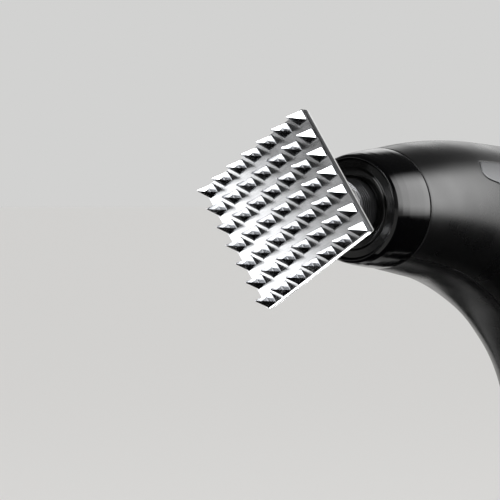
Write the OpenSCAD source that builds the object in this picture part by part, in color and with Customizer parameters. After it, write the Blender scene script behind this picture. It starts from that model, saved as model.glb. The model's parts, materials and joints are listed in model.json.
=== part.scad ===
// Cordless electric meat tenderizer with a square head of pyramid teeth.
// The drive axis runs along X, teeth to the front at minus X, base of the grip on Z = 0.
// A motor turns a crank, its roller works in a cross slot, and the plunger beats the head to and fro.

/* [Tooth plate] */
// teeth along each side of the square plate
tooth_count = 7; // [5:1:8]
// distance from one tooth to the next
tooth_pitch = 8; // [7:0.25:8.5]
// height of a tooth above the plate
tooth_height = 9; // [6:0.5:11]
// width of a tooth at its root, as a share of the pitch
root_share = 0.51; // [0.4:0.01:0.7]
// flat left on the tip of a tooth
tip_width = 0.35; // [0.2:0.05:0.8]
// thickness of the plate behind the teeth
plate_thickness = 4; // [3:0.5:6]
// turn of the plate about the drive axis, it sits on a round shank
head_turn = 33.4; // [0:0.1:89]
// distance from the nose of the tool to the face of the plate
head_reach = 43.2; // [38:0.2:50]

/* [Head stem] */
// radius of the polished hub behind the plate
hub_radius = 11; // [9:0.25:11.5]
// radius of the shank that is pushed into the socket
shank_radius = 6; // [5:0.25:7]
// length of the shank inside the socket
shank_length = 14; // [12:0.5:15]

/* [Plunger] */
// outer radius of the ribbed socket
socket_radius = 11.7; // [11:0.1:12]
// how far the socket stands out of the nose at mid stroke
socket_reach = 9; // [6:0.5:11]
// number of fine grooves around the socket
rib_count = 4; // [2:1:5]
// distance from one groove to the next
rib_pitch = 1.4; // [1.2:0.1:2]
// radius of the plunger rod
rod_radius = 6; // [5:0.25:6.5]
// radius of the rear guide rod
tail_radius = 4; // [3:0.25:5]

/* [Drive] */
// distance from the nose to the crank axis
crank_x = 92; // [90:0.5:94]
// throw of the crank, half of the stroke
crank_throw = 3; // [2:0.25:3.5]
// outer radius of the roller on the crank pin
roller_radius = 5; // [4.5:0.25:5.5]
// radius of the crank pin
pin_radius = 2.5; // [2:0.25:3]
// play between the roller and each long side of the slot
slot_play = 0.45; // [0.42:0.01:0.6]
// outer radius of the motor can
motor_radius = 17; // [15:0.5:17.5]
// length of the motor can
motor_length = 16; // [14:0.5:17]

/* [Nose] */
// outer radius of the nose at its front face
nose_radius = 20.05; // [19.5:0.05:20.3]
// outer radius of the raised lip around the socket
lip_radius = 15.8; // [15:0.1:17]
// distance from the nose to the seam between collar and body
seam_x = 21.2; // [20.6:0.1:22]
// radius of the body at the seam
seam_radius = 23.35; // [23:0.05:24]

/* [Body] */
// height of the crest above the drive axis
crest_height = 27.2; // [26.4:0.1:28.4]
// depth from the drive axis to the lower end of the grip shells
grip_drop = 158; // [152:1:175]
// distance from the nose to the back of the grip
body_back = 190.5; // [188:0.5:196]
// half of the widest body width
body_half = 26.8; // [26:0.1:29]
// half of the grip width
grip_half = 21.5; // [21.3:0.1:24]
// wall of the shells
wall = 2.5; // [2:0.1:2.8]

/* [Grip and trim] */
// height of the soft grip above the skin
grip_proud = 0.35; // [0.2:0.05:0.8]
// depth of the grip pocket in the skin
grip_pocket = 1.2; // [0.8:0.1:1.5]
// half angle the soft grip wraps around the keel at the nose
grip_wrap = 37; // [33:1:39]
// how much narrower the soft grip gets towards the bend
grip_waist = 0.45; // [0.3:0.05:0.5]
// how much wider the soft grip wraps around the handle
grip_spread = 1.1; // [0.8:0.1:1.3]
// depth of the pocket of a silver strip
strip_pocket = 1.2; // [0.8:0.1:1.5]
// number of air slots in each silver strip
vent_count = 6; // [3:1:8]
// width of an air slot
vent_width = 1.6; // [1:0.1:2]
// height of an air slot
vent_height = 6.4; // [4:0.2:8]

/* [Controls] */
// radius of the power button
power_radius = 5; // [4:0.25:5.5]
// radius of the speed button
speed_radius = 3.6; // [3:0.2:4]
// travel of both buttons
button_travel = 0.6; // [0.3:0.1:0.8]

/* [Battery] */
// radius of a cell
cell_radius = 9.2; // [8.8:0.1:9.3]
// length of a cell
cell_length = 65; // [60:0.5:66]

/* [Fits] */
// gap for running fits
run_gap = 0.05; // [0.02:0.01:0.08]
// gap for parts laid into a pocket
lay_gap = 0.1; // [0.05:0.01:0.15]
// facets of a full round
$fn = 72;

/* [Hidden] */
steel = [0.72, 0.73, 0.75];
chrome = [0.86, 0.87, 0.89];
bronze = [0.66, 0.5, 0.28];
alloy = [0.62, 0.64, 0.66];
shell = [0.17, 0.17, 0.18];
gloss = [0.1, 0.1, 0.11];
rubber = [0.07, 0.07, 0.07];
silver = [0.7, 0.71, 0.72];
board = [0.06, 0.3, 0.16];
copper = [0.72, 0.42, 0.22];
cell = [0.2, 0.45, 0.55];
lamp = [0.85, 0.92, 0.8];
pad_thickness = 2;
cap_flange = 3;
axis_height = grip_drop + cap_flange + pad_thickness;
grip_x = body_back - grip_half - 0.25;
tooth_root = tooth_pitch * root_share;
plate_width = (tooth_count - 1) * tooth_pitch + tooth_root + 0.8;
plate_back = -head_reach + plate_thickness;
socket_face = -socket_reach;
shank_end = socket_face + shank_length;
bore_end = shank_end + 0.4;
rod_start = bore_end + 8;
yoke_half = roller_radius + slot_play + 8.5;
yoke_front = crank_x - yoke_half;
yoke_back = crank_x + yoke_half;
yoke_thick = 4.8;
throw_room = crank_throw + 0.5;
slot_half = crank_throw + roller_radius + 0.8;
neck_radius = rod_radius - 1.2;
plug_radius = 3;
frame_top = -9;
frame_low = -13;
flange_front = seam_x - 5.2;
sleeve_front = flange_front + 3;
sleeve_radius = rod_radius + 2;
sleeve_back = 56;
tail_front = yoke_back + throw_room + 2;
tail_back = tail_front + 14;
tail_end = tail_back + 6;
tail_bush = tail_radius + 2.5;
disc_low = frame_top + 0.6;
disc_top = -yoke_thick - 0.8;
can_top = frame_low;
can_low = can_top - motor_length;
can_wall = 1;
stator_low = can_low + 2.2;
stator_top = can_top - 2.5;
rotor_radius = motor_radius - 7;
bearing_radius = 5.5;
shaft_radius = 2.5;
panel_tilt = 52;
panel_half = 9;
panel_run = 15;
panel_sink = 2.2;
panel_thick = 3;
button_proud = 1;
board_top = -12;
power_at = -7.5;
speed_at = 5.5;
lights_at = 12;
cell_offset = cell_radius + 0.15;
cell_low = -grip_drop + 7;
cell_top = cell_low + cell_length;
port_z = -grip_drop + 18;
port_half = 8;
port_high = 4.4;
port_floor = body_back - 2.2;
port_pin = 0.6;
post_radius = 3.4;
lug_radius = 3.6;
lug_half = 1.4;
station_steps = 40;
ring_steps = 18;
grip_steps = 30;
grip_ring_steps = 10;
strip_steps = 14;
strip_ring_steps = 5;
grip_front = 0.001;
thread = 1.25;
thread_way = 1.6;
screw_head = 2.3;
head_way = 2.4;
spigot = 19.5;
ring_seat = 19.2;
ring_step = 1.6;
ring_depth = 3.4;
seal_front = 5.4;
seal_back = flange_front - 4;
flange_depth = 6;
flange_circle = 16;
motor_circle = 10;
socket_hole = socket_radius + 0.7;

// rows of the body: crest x, crest z, keel x, keel z, half width, roundness
stations = [
    [seam_x, seam_radius, seam_x, -seam_radius, seam_radius, 2],
    [reach(0.123), crest_height * 0.951, reach(0.099), -26.05, body_half * 0.935, 2.05],
    [reach(0.265), crest_height, reach(0.217), -29.4, body_half * 0.978, 2.15],
    [reach(0.418), crest_height * 0.975, reach(0.336), -35.3, body_half, 2.2],
    [reach(0.572), crest_height * 0.9, reach(0.448), -44, body_half * 0.989, 2.2],
    [reach(0.719), crest_height * 0.703, reach(0.548), -55.4, body_half * 0.951, 2.2],
    [reach(0.861), 7, reach(0.628), drop(0.434), body_half * 0.896, 2.2],
    [reach(0.956), drop(0.114), reach(0.69), drop(0.532), grip_half * 1.06, 2.2],
    [reach(0.994), drop(0.329), reach(0.734), drop(0.652), grip_half * 1.02, 2.2],
    [reach(1), drop(0.557), reach(0.752), drop(0.778), grip_half, 2.2],
    [reach(0.997), drop(0.778), reach(0.758), drop(0.892), grip_half, 2.2],
    [reach(0.994), drop(1), reach(0.761), drop(1), grip_half, 2.2]
];

// distance from the nose for a share of the body length
function reach(share) = seam_x + share * (body_back - seam_x);
// level below the drive axis for a share of the grip depth
function drop(share) = -share * grip_drop;
// row of the body, held at both ends
function row(i) = stations[max(0, min(len(stations) - 1, i))];
// smooth value between the rows b and c
function blend(a, b, c, d, k) =
    0.5 * (2 * b + (c - a) * k + (2 * a - 5 * b + 4 * c - d) * k * k + (3 * b - a - 3 * c + d) * k * k * k);
// row at any share of the way from the seam to the base
function station(t) =
    let (s = t * (len(stations) - 1), i = min(floor(s), len(stations) - 2))
    blend(row(i - 1), row(i), row(i + 1), row(i + 2), s - i);
// soft step from 0 to 1 between two shares of the way
function ease(t, a, b) =
    let (k = max(0, min(1, (t - a) / (b - a))))
    k * k * (3 - 2 * k);
// width of the soft grip: a waist before the bend, then wide on the handle
function girth(t) = 1 - grip_waist * ease(t, 0, 0.5) + grip_spread * ease(t, 0.36, 0.7);
// power of a sine or cosine that keeps its sign
function bow(v, n) = sign(v) * pow(abs(v), 2 / n);
// point of the skin: angle 0 on the keel, 90 on the right flank, 180 on the crest
function skin(t, angle, out) =
    let (
        s = station(t),
        crest = [s[0], 0, s[1]],
        keel = [s[2], 0, s[3]],
        half = norm(crest - keel) / 2,
        up = (crest - keel) / (2 * half)
    )
    (crest + keel) / 2 - up * (half + out) * bow(cos(angle), s[5])
        + [0, (s[4] + out) * bow(sin(angle), s[5]), 0];
// point in the middle plane: height -1 on the keel, 1 on the crest
function core(t, height) =
    let (s = station(t))
    [(s[2] + s[0]) / 2 + (s[0] - s[2]) / 2 * height, 0, (s[3] + s[1]) / 2 + (s[1] - s[3]) / 2 * height];
// half width of the body at a point of the middle plane
function flank(t, height) =
    let (s = station(t))
    s[4] * pow(1 - pow(abs(height), s[5]), 1 / s[5]);

// outer end of a screw post, inside the wall where the skin is nearest
function post_end(p) =
    let (s = station(p[0]), half = norm([s[0] - s[2], s[1] - s[3]]) / 2)
    flank(p[0], min(0.97, abs(p[1]) + post_radius / half)) - 0.7;

// screw posts of the shells: share of the way, height in the section
posts = [[0.115, -0.66], [0.2, 0.73], [0.4, 0.86], [0.42, -0.74], [0.67, 0.72]];
panel_point = core(0.59, 1);

// puts a part drawn about the drive axis above the base of the grip
module in_tool() {
    translate([-grip_x, 0, axis_height]) children();
}

// lays a part drawn along Z onto the drive axis
module along_axis() {
    rotate([0, 90, 0]) children();
}

// turns the head about the drive axis
module turned() {
    rotate([-head_turn, 0, 0]) children();
}

// moves to the control panel, Z out of its face
module on_panel() {
    translate(panel_point) rotate([0, panel_tilt, 0]) children();
}

// moves to the motor axis
module on_motor() {
    translate([crank_x, 0, 0]) children();
}

// moves to the middle of the charging port, X out of the back
module on_port() {
    translate([port_floor, 0, port_z]) children();
}

// ring along Z
module ring(outer, inner, low, top) {
    translate([0, 0, low]) difference() {
        cylinder(r = outer, h = top - low);
        translate([0, 0, -1]) cylinder(r = inner, h = top - low + 2);
    }
}

// slot outline with round ends along X
module slot_shape(half_run, radius) {
    translate([-half_run + radius, -radius]) square([2 * (half_run - radius), 2 * radius]);
    translate([-half_run + radius, 0]) circle(r = radius);
    translate([half_run - radius, 0]) circle(r = radius);
}

// square outline with round corners
module soft_square(x, y, radius) {
    translate([-x / 2 + radius, -y / 2]) square([x - 2 * radius, y]);
    translate([-x / 2, -y / 2 + radius]) square([x, y - 2 * radius]);
    for (i = [-1, 1], j = [-1, 1])
        translate([i * (x / 2 - radius), j * (y / 2 - radius)]) circle(r = radius);
}

// right half of the body shell as one loft of open rings
module half_loft() {
    m = 2 * (ring_steps + 1);
    points = [
        for (i = [0:station_steps], j = [0:m - 1])
            j <= ring_steps
            ? skin(i / station_steps, 180 * j / ring_steps, 0)
            : skin(i / station_steps, 180 * (m - 1 - j) / ring_steps, -wall)
    ];
    sides = [
        for (i = [0:station_steps - 1], j = [0:m - 1])
            let (a = i * m + j, b = i * m + (j + 1) % m)
            each [[a, a + m, b + m], [a, b + m, b]]
    ];
    ends = [
        for (j = [0:ring_steps - 1], e = [0, 1])
            let (o = e * station_steps * m, a = o + j, b = o + j + 1, c = o + m - 2 - j, d = o + m - 1 - j)
            each e == 0 ? [[a, b, c], [a, c, d]] : [[a, c, b], [a, d, c]]
    ];
    polyhedron(points = points, faces = concat(sides, ends), convexity = 8);
}

// patch of the skin between two shares and two angles
// lean rounds its front end below and its rear end above, shaped gives it the width of the grip
module skin_patch(t0, t1, angle0, angle1, out, deep, lean, shaped, steps, rounds) {
    m = 2 * (rounds + 1);
    points = [
        for (i = [0:steps], j = [0:m - 1])
            let (
                k = j <= rounds ? j / rounds : (m - 1 - j) / rounds,
                front = t0 + lean * pow(1 - k, 3),
                rear = t1 - lean * pow(k, 3),
                t = front + (rear - front) * i / steps,
                angle = (angle0 + (angle1 - angle0) * k) * (shaped ? girth(t) : 1)
            )
            skin(t, angle, j <= rounds ? out : -deep)
    ];
    sides = [
        for (i = [0:steps - 1], j = [0:m - 1])
            let (a = i * m + j, b = i * m + (j + 1) % m)
            each [[a, a + m, b + m], [a, b + m, b]]
    ];
    ends = [
        for (j = [0:rounds - 1], e = [0, 1])
            let (o = e * steps * m, a = o + j, b = o + j + 1, c = o + m - 2 - j, d = o + m - 1 - j)
            each e == 0 ? [[a, b, c], [a, c, d]] : [[a, c, b], [a, d, c]]
    ];
    polyhedron(points = points, faces = concat(sides, ends), convexity = 8);
}

// soft grip along the keel, larger all round by a margin
module grip_volume(margin, out, deep) {
    skin_patch(grip_front - margin / 20, 1 - 0.003 + margin / 60, -grip_wrap - 2 * margin, grip_wrap + 2 * margin,
        out, deep, 0, true, grip_steps, grip_ring_steps);
}

// pocket of the soft grip, cut into both halves of the casing
module grip_pocket_volume() {
    grip_volume(lay_gap, 3, grip_pocket);
}

// silver strip of the right flank, larger all round by a margin
module strip_volume(margin, out, deep) {
    skin_patch(0.175 - margin / 300, 0.5 + margin / 300, 111 - 2 * margin, 132.5 + 2 * margin,
        out, deep, 0.032, false, strip_steps, strip_ring_steps);
}

// outline of the grip at its lower end, smaller by a margin
module base_shape(margin) {
    polygon([
        for (k = [0:59])
            let (p = skin(1, 6 * k, -margin)) [p[0], p[1]]
    ]);
}

// air slots of one flank
module vent_slots() {
    for (i = [0:vent_count - 1])
        let (p = skin(0.4 + 0.016 * i, 121, 0))
        translate([p[0], 5, p[2]]) rotate([0, 24, 0])
            translate([-vent_width / 2, 0, -vent_height / 2]) cube([vent_width, body_half, vent_height]);
}

// one pyramid tooth, standing on its root
module tooth() {
    cylinder(h = tooth_height, r1 = tooth_root / sqrt(2), r2 = tip_width / sqrt(2), $fn = 4);
}

// tooth plate
module tooth_plate() {
    first = -(tooth_count - 1) / 2 * tooth_pitch;
    color(chrome) in_tool() turned() difference() {
        union() {
            translate([-head_reach, 0, 0]) along_axis() linear_extrude(plate_thickness)
                soft_square(plate_width, plate_width, 0.6);
            for (i = [0:tooth_count - 1], j = [0:tooth_count - 1])
                translate([-head_reach + 0.01, first + i * tooth_pitch, first + j * tooth_pitch])
                    rotate([0, -90, 0]) rotate([0, 0, 45])
                        tooth();
        }
        translate([plate_back - 2, 0, 0]) along_axis() cylinder(r = 5, h = 3);
    }
}

// hub and shank of the head
module head_stem() {
    f = plate_back;
    color(chrome) in_tool() along_axis() rotate_extrude() polygon([
        [0, f - 2],
        [5, f - 2],
        [5, f],
        [hub_radius + 2, f],
        [hub_radius + 2, f + 1.6],
        [hub_radius, f + 3.2],
        [hub_radius, socket_face - 1.1],
        [hub_radius - 0.9, socket_face - 0.1],
        [shank_radius, socket_face - 0.1],
        [shank_radius, socket_face + 6],
        [shank_radius - 1.7, socket_face + 6],
        [shank_radius - 1.7, socket_face + 7.9],
        [shank_radius, socket_face + 7.9],
        [shank_radius, shank_end - 0.8],
        [shank_radius - 0.8, shank_end],
        [0, shank_end]
    ]);
}

// snap ring on the shank
module shank_ring() {
    color(rubber) in_tool() along_axis() translate([0, 0, socket_face + 6.95])
        rotate_extrude() translate([shank_radius - 0.85, 0]) circle(r = 0.84, $fn = 24);
}

// ribbed socket on the plunger
module socket_collar() {
    color(gloss) in_tool() along_axis() difference() {
        translate([0, 0, socket_face]) cylinder(r = socket_radius, h = rod_start - socket_face);
        translate([0, 0, socket_face - 1])
            cylinder(r = shank_radius + run_gap, h = bore_end - socket_face + 1);
        translate([0, 0, bore_end - 1]) cylinder(r = rod_radius - 1, h = rod_start - bore_end + 2);
        for (i = [0:rib_count - 1])
            translate([0, 0, socket_face + 0.7 + rib_pitch * i])
                ring(socket_radius + 1, socket_radius - 0.8, 0, rib_pitch / 2);
    }
}

// plunger rod
module plunger_rod() {
    color(steel) in_tool() along_axis() rotate_extrude() polygon([
        [0, bore_end],
        [rod_radius - 1, bore_end],
        [rod_radius - 1, rod_start],
        [rod_radius, rod_start],
        [rod_radius, yoke_front - 9],
        [neck_radius, yoke_front - 7.8],
        [neck_radius, yoke_front],
        [plug_radius, yoke_front],
        [plug_radius, yoke_front + 5],
        [0, yoke_front + 5]
    ]);
}

// slotted yoke with the rear guide rod
module yoke() {
    color(steel) in_tool() difference() {
        union() {
            translate([crank_x, 0, -yoke_thick]) linear_extrude(2 * yoke_thick)
                soft_square(2 * yoke_half, 2 * slot_half + 11, 3);
            translate([yoke_back - 2, 0, 0]) along_axis()
                cylinder(r = tail_radius, h = tail_end - yoke_back + 2);
        }
        translate([crank_x, 0, -yoke_thick - 1]) linear_extrude(2 * yoke_thick + 2) rotate(90)
            soft_square(2 * slot_half, 2 * (roller_radius + slot_play), 1.5);
        translate([yoke_front - 1, 0, 0]) along_axis() cylinder(r = plug_radius, h = 6);
    }
}

// roller on the crank pin
module roller() {
    color(steel) in_tool() on_motor() translate([0, crank_throw, 0]) difference() {
        ring(roller_radius, pin_radius + run_gap, -4.4, 4.4);
        ring(roller_radius - 0.9, pin_radius + 0.9, 4, 5);
    }
}

// crank disc with its counterweight
module crank_disc() {
    color(alloy) in_tool() on_motor() difference() {
        union() {
            translate([0, 0, disc_low]) cylinder(r = 9, h = disc_top - disc_low);
            intersection() {
                translate([0, 0, disc_low]) cylinder(r = 15, h = disc_top - disc_low);
                translate([-15, -15.5, disc_low - 1]) cube([30, 13, disc_top - disc_low + 2]);
            }
        }
        translate([0, 0, disc_low - 1]) cylinder(r = shaft_radius, h = disc_top - disc_low);
    }
}

// crank pin with its head
module crank_pin() {
    color(steel) in_tool() on_motor() translate([0, crank_throw, 0]) {
        translate([0, 0, disc_top]) cylinder(r = pin_radius, h = 4.6 - disc_top);
        translate([0, 0, 4.6]) cylinder(r = pin_radius + 0.9, h = 0.9);
    }
}

// motor shaft
module motor_shaft() {
    color(steel) in_tool() on_motor() translate([0, 0, can_low - 3.3])
        cylinder(r = shaft_radius, h = disc_top - can_low + 2.3);
}

// rotor on the motor shaft
module rotor() {
    color(alloy) in_tool() on_motor() difference() {
        ring(rotor_radius, shaft_radius, stator_low + 0.4, stator_top - 0.4);
        for (i = [0:7])
            rotate(45 * i) translate([rotor_radius - 0.9, -0.6, can_low]) cube([2, 1.2, motor_length]);
    }
}

// stator with its windings
module stator() {
    color(copper) in_tool() on_motor() difference() {
        ring(motor_radius - can_wall, rotor_radius + 0.5, stator_low, stator_top);
        for (i = [0:8])
            rotate(40 * i) translate([rotor_radius - 1, -0.8, can_low]) cube([3.4, 1.6, motor_length]);
        for (i = [0:8])
            rotate(40 * i) translate([rotor_radius + 3.5, 0, can_low]) cylinder(r = 1.2, h = motor_length);
    }
}

// motor can
module motor_can() {
    color(steel) in_tool() on_motor() difference() {
        translate([0, 0, can_low]) cylinder(r = motor_radius, h = motor_length);
        translate([0, 0, can_low - 1]) cylinder(r = motor_radius - can_wall, h = motor_length - 0.5);
        translate([0, 0, can_top - 3]) cylinder(r = bearing_radius, h = 4);
        for (i = [0:3])
            rotate(45 + 90 * i) translate([motor_circle, 0, can_top - 3]) cylinder(r = thread, h = 4);
    }
}

// end bell of the motor
module motor_bell() {
    color(alloy) in_tool() on_motor() difference() {
        union() {
            translate([0, 0, can_low]) cylinder(r = motor_radius - can_wall, h = 1.4);
            translate([0, 0, can_low - 4]) cylinder(r = 6.5, h = 5);
        }
        translate([0, 0, can_low - 3.4]) cylinder(r = 5, h = 9);
        for (i = [0:5])
            rotate(60 * i) translate([11, 0, can_low - 1]) cylinder(r = 1.6, h = 4);
    }
}

// two ball bearings of the motor shaft
module motor_bearings() {
    color(steel) in_tool() on_motor() {
        ring(bearing_radius, shaft_radius + run_gap, frame_low - 1, frame_top);
        ring(5, shaft_radius + run_gap, can_low - 3.2, can_low + 0.4);
    }
}

// screws of the motor
module motor_screws() {
    color(steel) in_tool() on_motor() for (i = [0:3])
        rotate(45 + 90 * i) translate([motor_circle, 0, 0]) {
            translate([0, 0, frame_low - 1.4]) cylinder(r = thread, h = 3.4);
            translate([0, 0, frame_low + 2]) cylinder(r = 2.2, h = 1.6);
        }
}

// cast frame that carries the guides and the motor
module drive_frame() {
    low = core(posts[0][0], posts[0][1]);
    high = core(posts[2][0], posts[2][1]);
    tower = flange_front + 5;
    color(alloy) in_tool() difference() {
        union() {
            translate([flange_front, 0, 0]) along_axis() cylinder(r = spigot - lay_gap, h = flange_depth);
            translate([tower, 0, 0]) along_axis() cylinder(r = sleeve_radius + 2, h = sleeve_back - tower);
            translate([tower, -13, frame_low]) cube([tail_back - tower, 26, frame_top - frame_low]);
            translate([seam_x + 6, -15.5, frame_low])
                cube([tail_back - seam_x - 6, 31, frame_top - frame_low]);
            translate([tail_front, -9, frame_top - 1]) cube([14, 18, tail_bush + 3 - frame_top]);
            translate([low[0] - lug_radius, -lug_half, low[2]])
                cube([2 * lug_radius, 2 * lug_half, frame_low - low[2] + 1]);
            translate([tail_front, -lug_half, tail_bush])
                cube([high[0] + lug_radius - tail_front, 2 * lug_half, high[2] - tail_bush]);
            for (c = [low, high])
                translate([c[0], lug_half, c[2]]) rotate([90, 0, 0])
                    cylinder(r = lug_radius, h = 2 * lug_half);
        }
        translate([flange_front - 1, 0, 0]) along_axis() cylinder(r = socket_hole, h = 4);
        translate([flange_front, 0, 0]) along_axis()
            cylinder(r = sleeve_radius, h = sleeve_back - flange_front + 1);
        translate([tail_front - 1, 0, 0]) along_axis() cylinder(r = tail_bush, h = 16);
        for (c = [low, high])
            translate([c[0], 5, c[2]]) rotate([90, 0, 0]) cylinder(r = thread_way, h = 10);
        for (a = [0, 90, 180])
            rotate([a, 0, 0]) translate([flange_front - 1, flange_circle, 0]) along_axis()
                cylinder(r = thread, h = flange_depth + 2);
        on_motor() {
            translate([0, 0, frame_low - 1]) cylinder(r = bearing_radius, h = 6);
            for (i = [0:3])
                rotate(45 + 90 * i) translate([motor_circle, 0, 0]) {
                    translate([0, 0, frame_low - 1]) cylinder(r = thread, h = 6);
                    translate([0, 0, frame_low + 2]) cylinder(r = 2.2, h = 6);
                }
        }
    }
}

// screws that hold the frame to the nose collar
module flange_screws() {
    color(steel) in_tool() for (a = [0, 90, 180])
        rotate([a, 0, 0]) translate([0, flange_circle, 0]) along_axis() {
            translate([0, 0, flange_front - 3.5]) cylinder(r = thread, h = flange_depth + 3.5);
            translate([0, 0, flange_front + flange_depth]) cylinder(r = 2.4, h = 1.6);
        }
}

// bronze sleeve that guides the plunger rod
module guide_sleeve() {
    color(bronze) in_tool() along_axis() ring(sleeve_radius, rod_radius + run_gap, sleeve_front, sleeve_back);
}

// bronze bush of the rear guide rod
module tail_sleeve() {
    color(bronze) in_tool() along_axis() ring(tail_bush, tail_radius + run_gap, tail_front, tail_back);
}

// felt seal behind the front ring
module wiper_seal() {
    color(rubber) in_tool() along_axis() ring(15, socket_radius + run_gap, seal_front, seal_back);
}

// soft front ring with a raised lip around the socket
module front_ring() {
    hole = socket_hole;
    color(rubber) in_tool() along_axis() rotate_extrude() polygon([
        [hole + 0.5, 0],
        [lip_radius - 0.5, 0],
        [lip_radius, 0.5],
        [lip_radius, ring_step - 0.4],
        [ring_seat - 0.5, ring_step - 0.4],
        [ring_seat, ring_step],
        [ring_seat, ring_depth],
        [hole, ring_depth],
        [hole, 0.5]
    ]);
}

// glossy nose collar
module nose_collar() {
    s = seam_x;
    color(gloss) in_tool() along_axis() difference() {
        rotate_extrude() polygon([
            [ring_seat, 0.25],
            [nose_radius - 0.2, 0.25],
            [nose_radius, 0.45],
            [nose_radius + 0.7, ring_step],
            [nose_radius + 1.3, 4],
            [nose_radius + 1.95, 8],
            [nose_radius + 2.5, 12.5],
            [seam_radius - 0.3, s - 4.2],
            [seam_radius, s - 0.8],
            [seam_radius - 0.3, s - 0.25],
            [seam_radius - wall - 0.1, s - 0.25],
            [seam_radius - wall - 0.1, s + 4],
            [spigot, s + 4],
            [spigot, flange_front],
            [socket_radius + 1.5, flange_front],
            [socket_radius + 1.5, seal_back],
            [ring_seat, seal_back],
            [ring_seat, seal_front],
            [socket_hole + 0.2, seal_front],
            [socket_hole + 0.2, ring_depth],
            [ring_seat, ring_depth]
        ]);
        for (a = [0, 90, 180])
            rotate([0, 0, a + 90]) translate([flange_circle, 0, flange_front - 3.5])
                cylinder(r = thread, h = 4.5);
    }
}

// half of the casing with its screw posts, drawn for the right hand side
module casing_half() {
    difference() {
        union() {
            half_loft();
            for (p = posts)
                let (c = core(p[0], p[1]))
                translate([c[0], 0, c[2]]) rotate([-90, 0, 0]) cylinder(r = post_radius, h = post_end(p));
        }
        strip_volume(lay_gap, 3, strip_pocket);
        vent_slots();
        on_panel() translate([0, 0, -16]) linear_extrude(30) slot_shape(panel_run, panel_half);
        on_port() translate([-6, -port_half - 0.2, -port_high - 0.2])
            cube([12, 2 * port_half + 0.4, 2 * port_high + 0.4]);
        for (p = [posts[0], posts[2]])
            let (c = core(p[0], p[1]))
            translate([c[0], -2, c[2]]) rotate([-90, 0, 0]) cylinder(r = lug_radius + 0.4, h = 2 + lug_half);
    }
}

// left half of the casing, on the side of the photographed flank
module left_casing() {
    color(shell) in_tool() difference() {
        mirror([0, 1, 0]) casing_half();
        grip_pocket_volume();
        for (p = posts)
            let (c = core(p[0], p[1]))
            translate([c[0], 1, c[2]]) rotate([90, 0, 0]) cylinder(r = thread, h = 11);
        port_pin_hole();
    }
}

// right half of the casing, with the screw heads
module right_casing() {
    color(shell) in_tool() difference() {
        casing_half();
        grip_pocket_volume();
        for (p = posts)
            let (c = core(p[0], p[1]))
            translate([c[0], 0, c[2]]) rotate([-90, 0, 0]) {
                translate([0, 0, -1]) cylinder(r = thread_way, h = body_half);
                translate([0, 0, post_end(p) - 4]) cylinder(r = head_way, h = 20);
            }
        port_pin_hole();
    }
}

// holes for the pivots of the port cover
module port_pin_hole() {
    on_port() translate([1.1, port_half + 1.2, port_high - 1]) rotate([90, 0, 0])
        cylinder(r = port_pin + run_gap, h = 2 * (port_half + 1.2));
}

// casing screws
module casing_screws() {
    color(steel) in_tool() for (p = posts)
        let (c = core(p[0], p[1]), seat = post_end(p) - 4)
        translate([c[0], 0, c[2]]) rotate([-90, 0, 0]) difference() {
            union() {
                translate([0, 0, -9.5]) cylinder(r = thread, h = seat + 10);
                translate([0, 0, seat]) cylinder(r = screw_head, h = 2);
            }
            translate([0, 0, seat + 1]) cylinder(r = 1.1, h = 2, $fn = 6);
        }
}

// soft grip along the front of the handle
module grip_pad() {
    color(rubber) in_tool() grip_volume(0, grip_proud, grip_pocket - lay_gap);
}

// silver strip of one flank
module strip() {
    difference() {
        strip_volume(0, 0.12, strip_pocket - lay_gap);
        vent_slots();
    }
}

// silver strip of the photographed flank
module left_strip() {
    color(silver) in_tool() mirror([0, 1, 0]) strip();
}

// silver strip of the other flank
module right_strip() {
    color(silver) in_tool() strip();
}

// cap that closes the lower end of the grip
module bottom_cap() {
    color(shell) in_tool() {
        translate([0, 0, -grip_drop - cap_flange]) linear_extrude(cap_flange) base_shape(0.3);
        difference() {
            translate([0, 0, -grip_drop - 0.5]) linear_extrude(5.1) base_shape(wall + lay_gap);
            translate([0, 0, -grip_drop]) linear_extrude(6) base_shape(wall + 2);
        }
        translate([0, 0, -grip_drop - 0.5]) linear_extrude(2.5) base_shape(wall + 1.9);
    }
}

// soft foot under the cap
module foot_pad() {
    color(rubber) in_tool() translate([0, 0, -axis_height]) linear_extrude(pad_thickness) base_shape(2);
}

// holder of the two cells
module battery_holder() {
    color(shell) in_tool() {
        translate([0, 0, -grip_drop + 2]) linear_extrude(cell_low - 2.3 + grip_drop) base_shape(wall + 2.2);
        translate([grip_x, 0, cell_top + 0.3]) linear_extrude(2.4) soft_square(26, 31, 4);
        for (i = [-1, 1])
            translate([grip_x + i * (cell_radius + 0.4) - 2.2, -2.2, cell_low - 1])
                cube([4.4, 4.4, cell_length + 2]);
    }
}

// two battery cells
module battery_cells() {
    color(cell) in_tool() for (i = [-1, 1])
        translate([grip_x, i * cell_offset, cell_low]) cylinder(r = cell_radius, h = cell_length);
}

// welded straps of the cells
module cell_straps() {
    color(silver) in_tool() {
        translate([grip_x - 3.5, -cell_offset - 5, cell_top]) cube([7, 2 * cell_offset + 10, 0.3]);
        for (i = [-1, 1])
            translate([grip_x - 3.5, i * cell_offset - 5, cell_low - 0.3]) cube([7, 10, 0.3]);
    }
}

// panel with the control holes and the posts of the board
module control_panel() {
    color(gloss) in_tool() on_panel() difference() {
        union() {
            translate([0, 0, -panel_sink - panel_thick]) linear_extrude(panel_thick)
                slot_shape(panel_run - lay_gap, panel_half - lay_gap);
            for (x = [-1.4, 9], j = [-1, 1])
                translate([x, j * 6.6, board_top]) cylinder(r = 1.5, h = -board_top - panel_sink - 1);
        }
        translate([power_at, 0, -8]) cylinder(r = power_radius + lay_gap, h = 10);
        translate([speed_at, 0, -8]) cylinder(r = speed_radius + lay_gap, h = 10);
        for (j = [-1:1])
            translate([lights_at, 3.4 * j, -8]) cylinder(r = 0.9, h = 10);
    }
}

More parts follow.
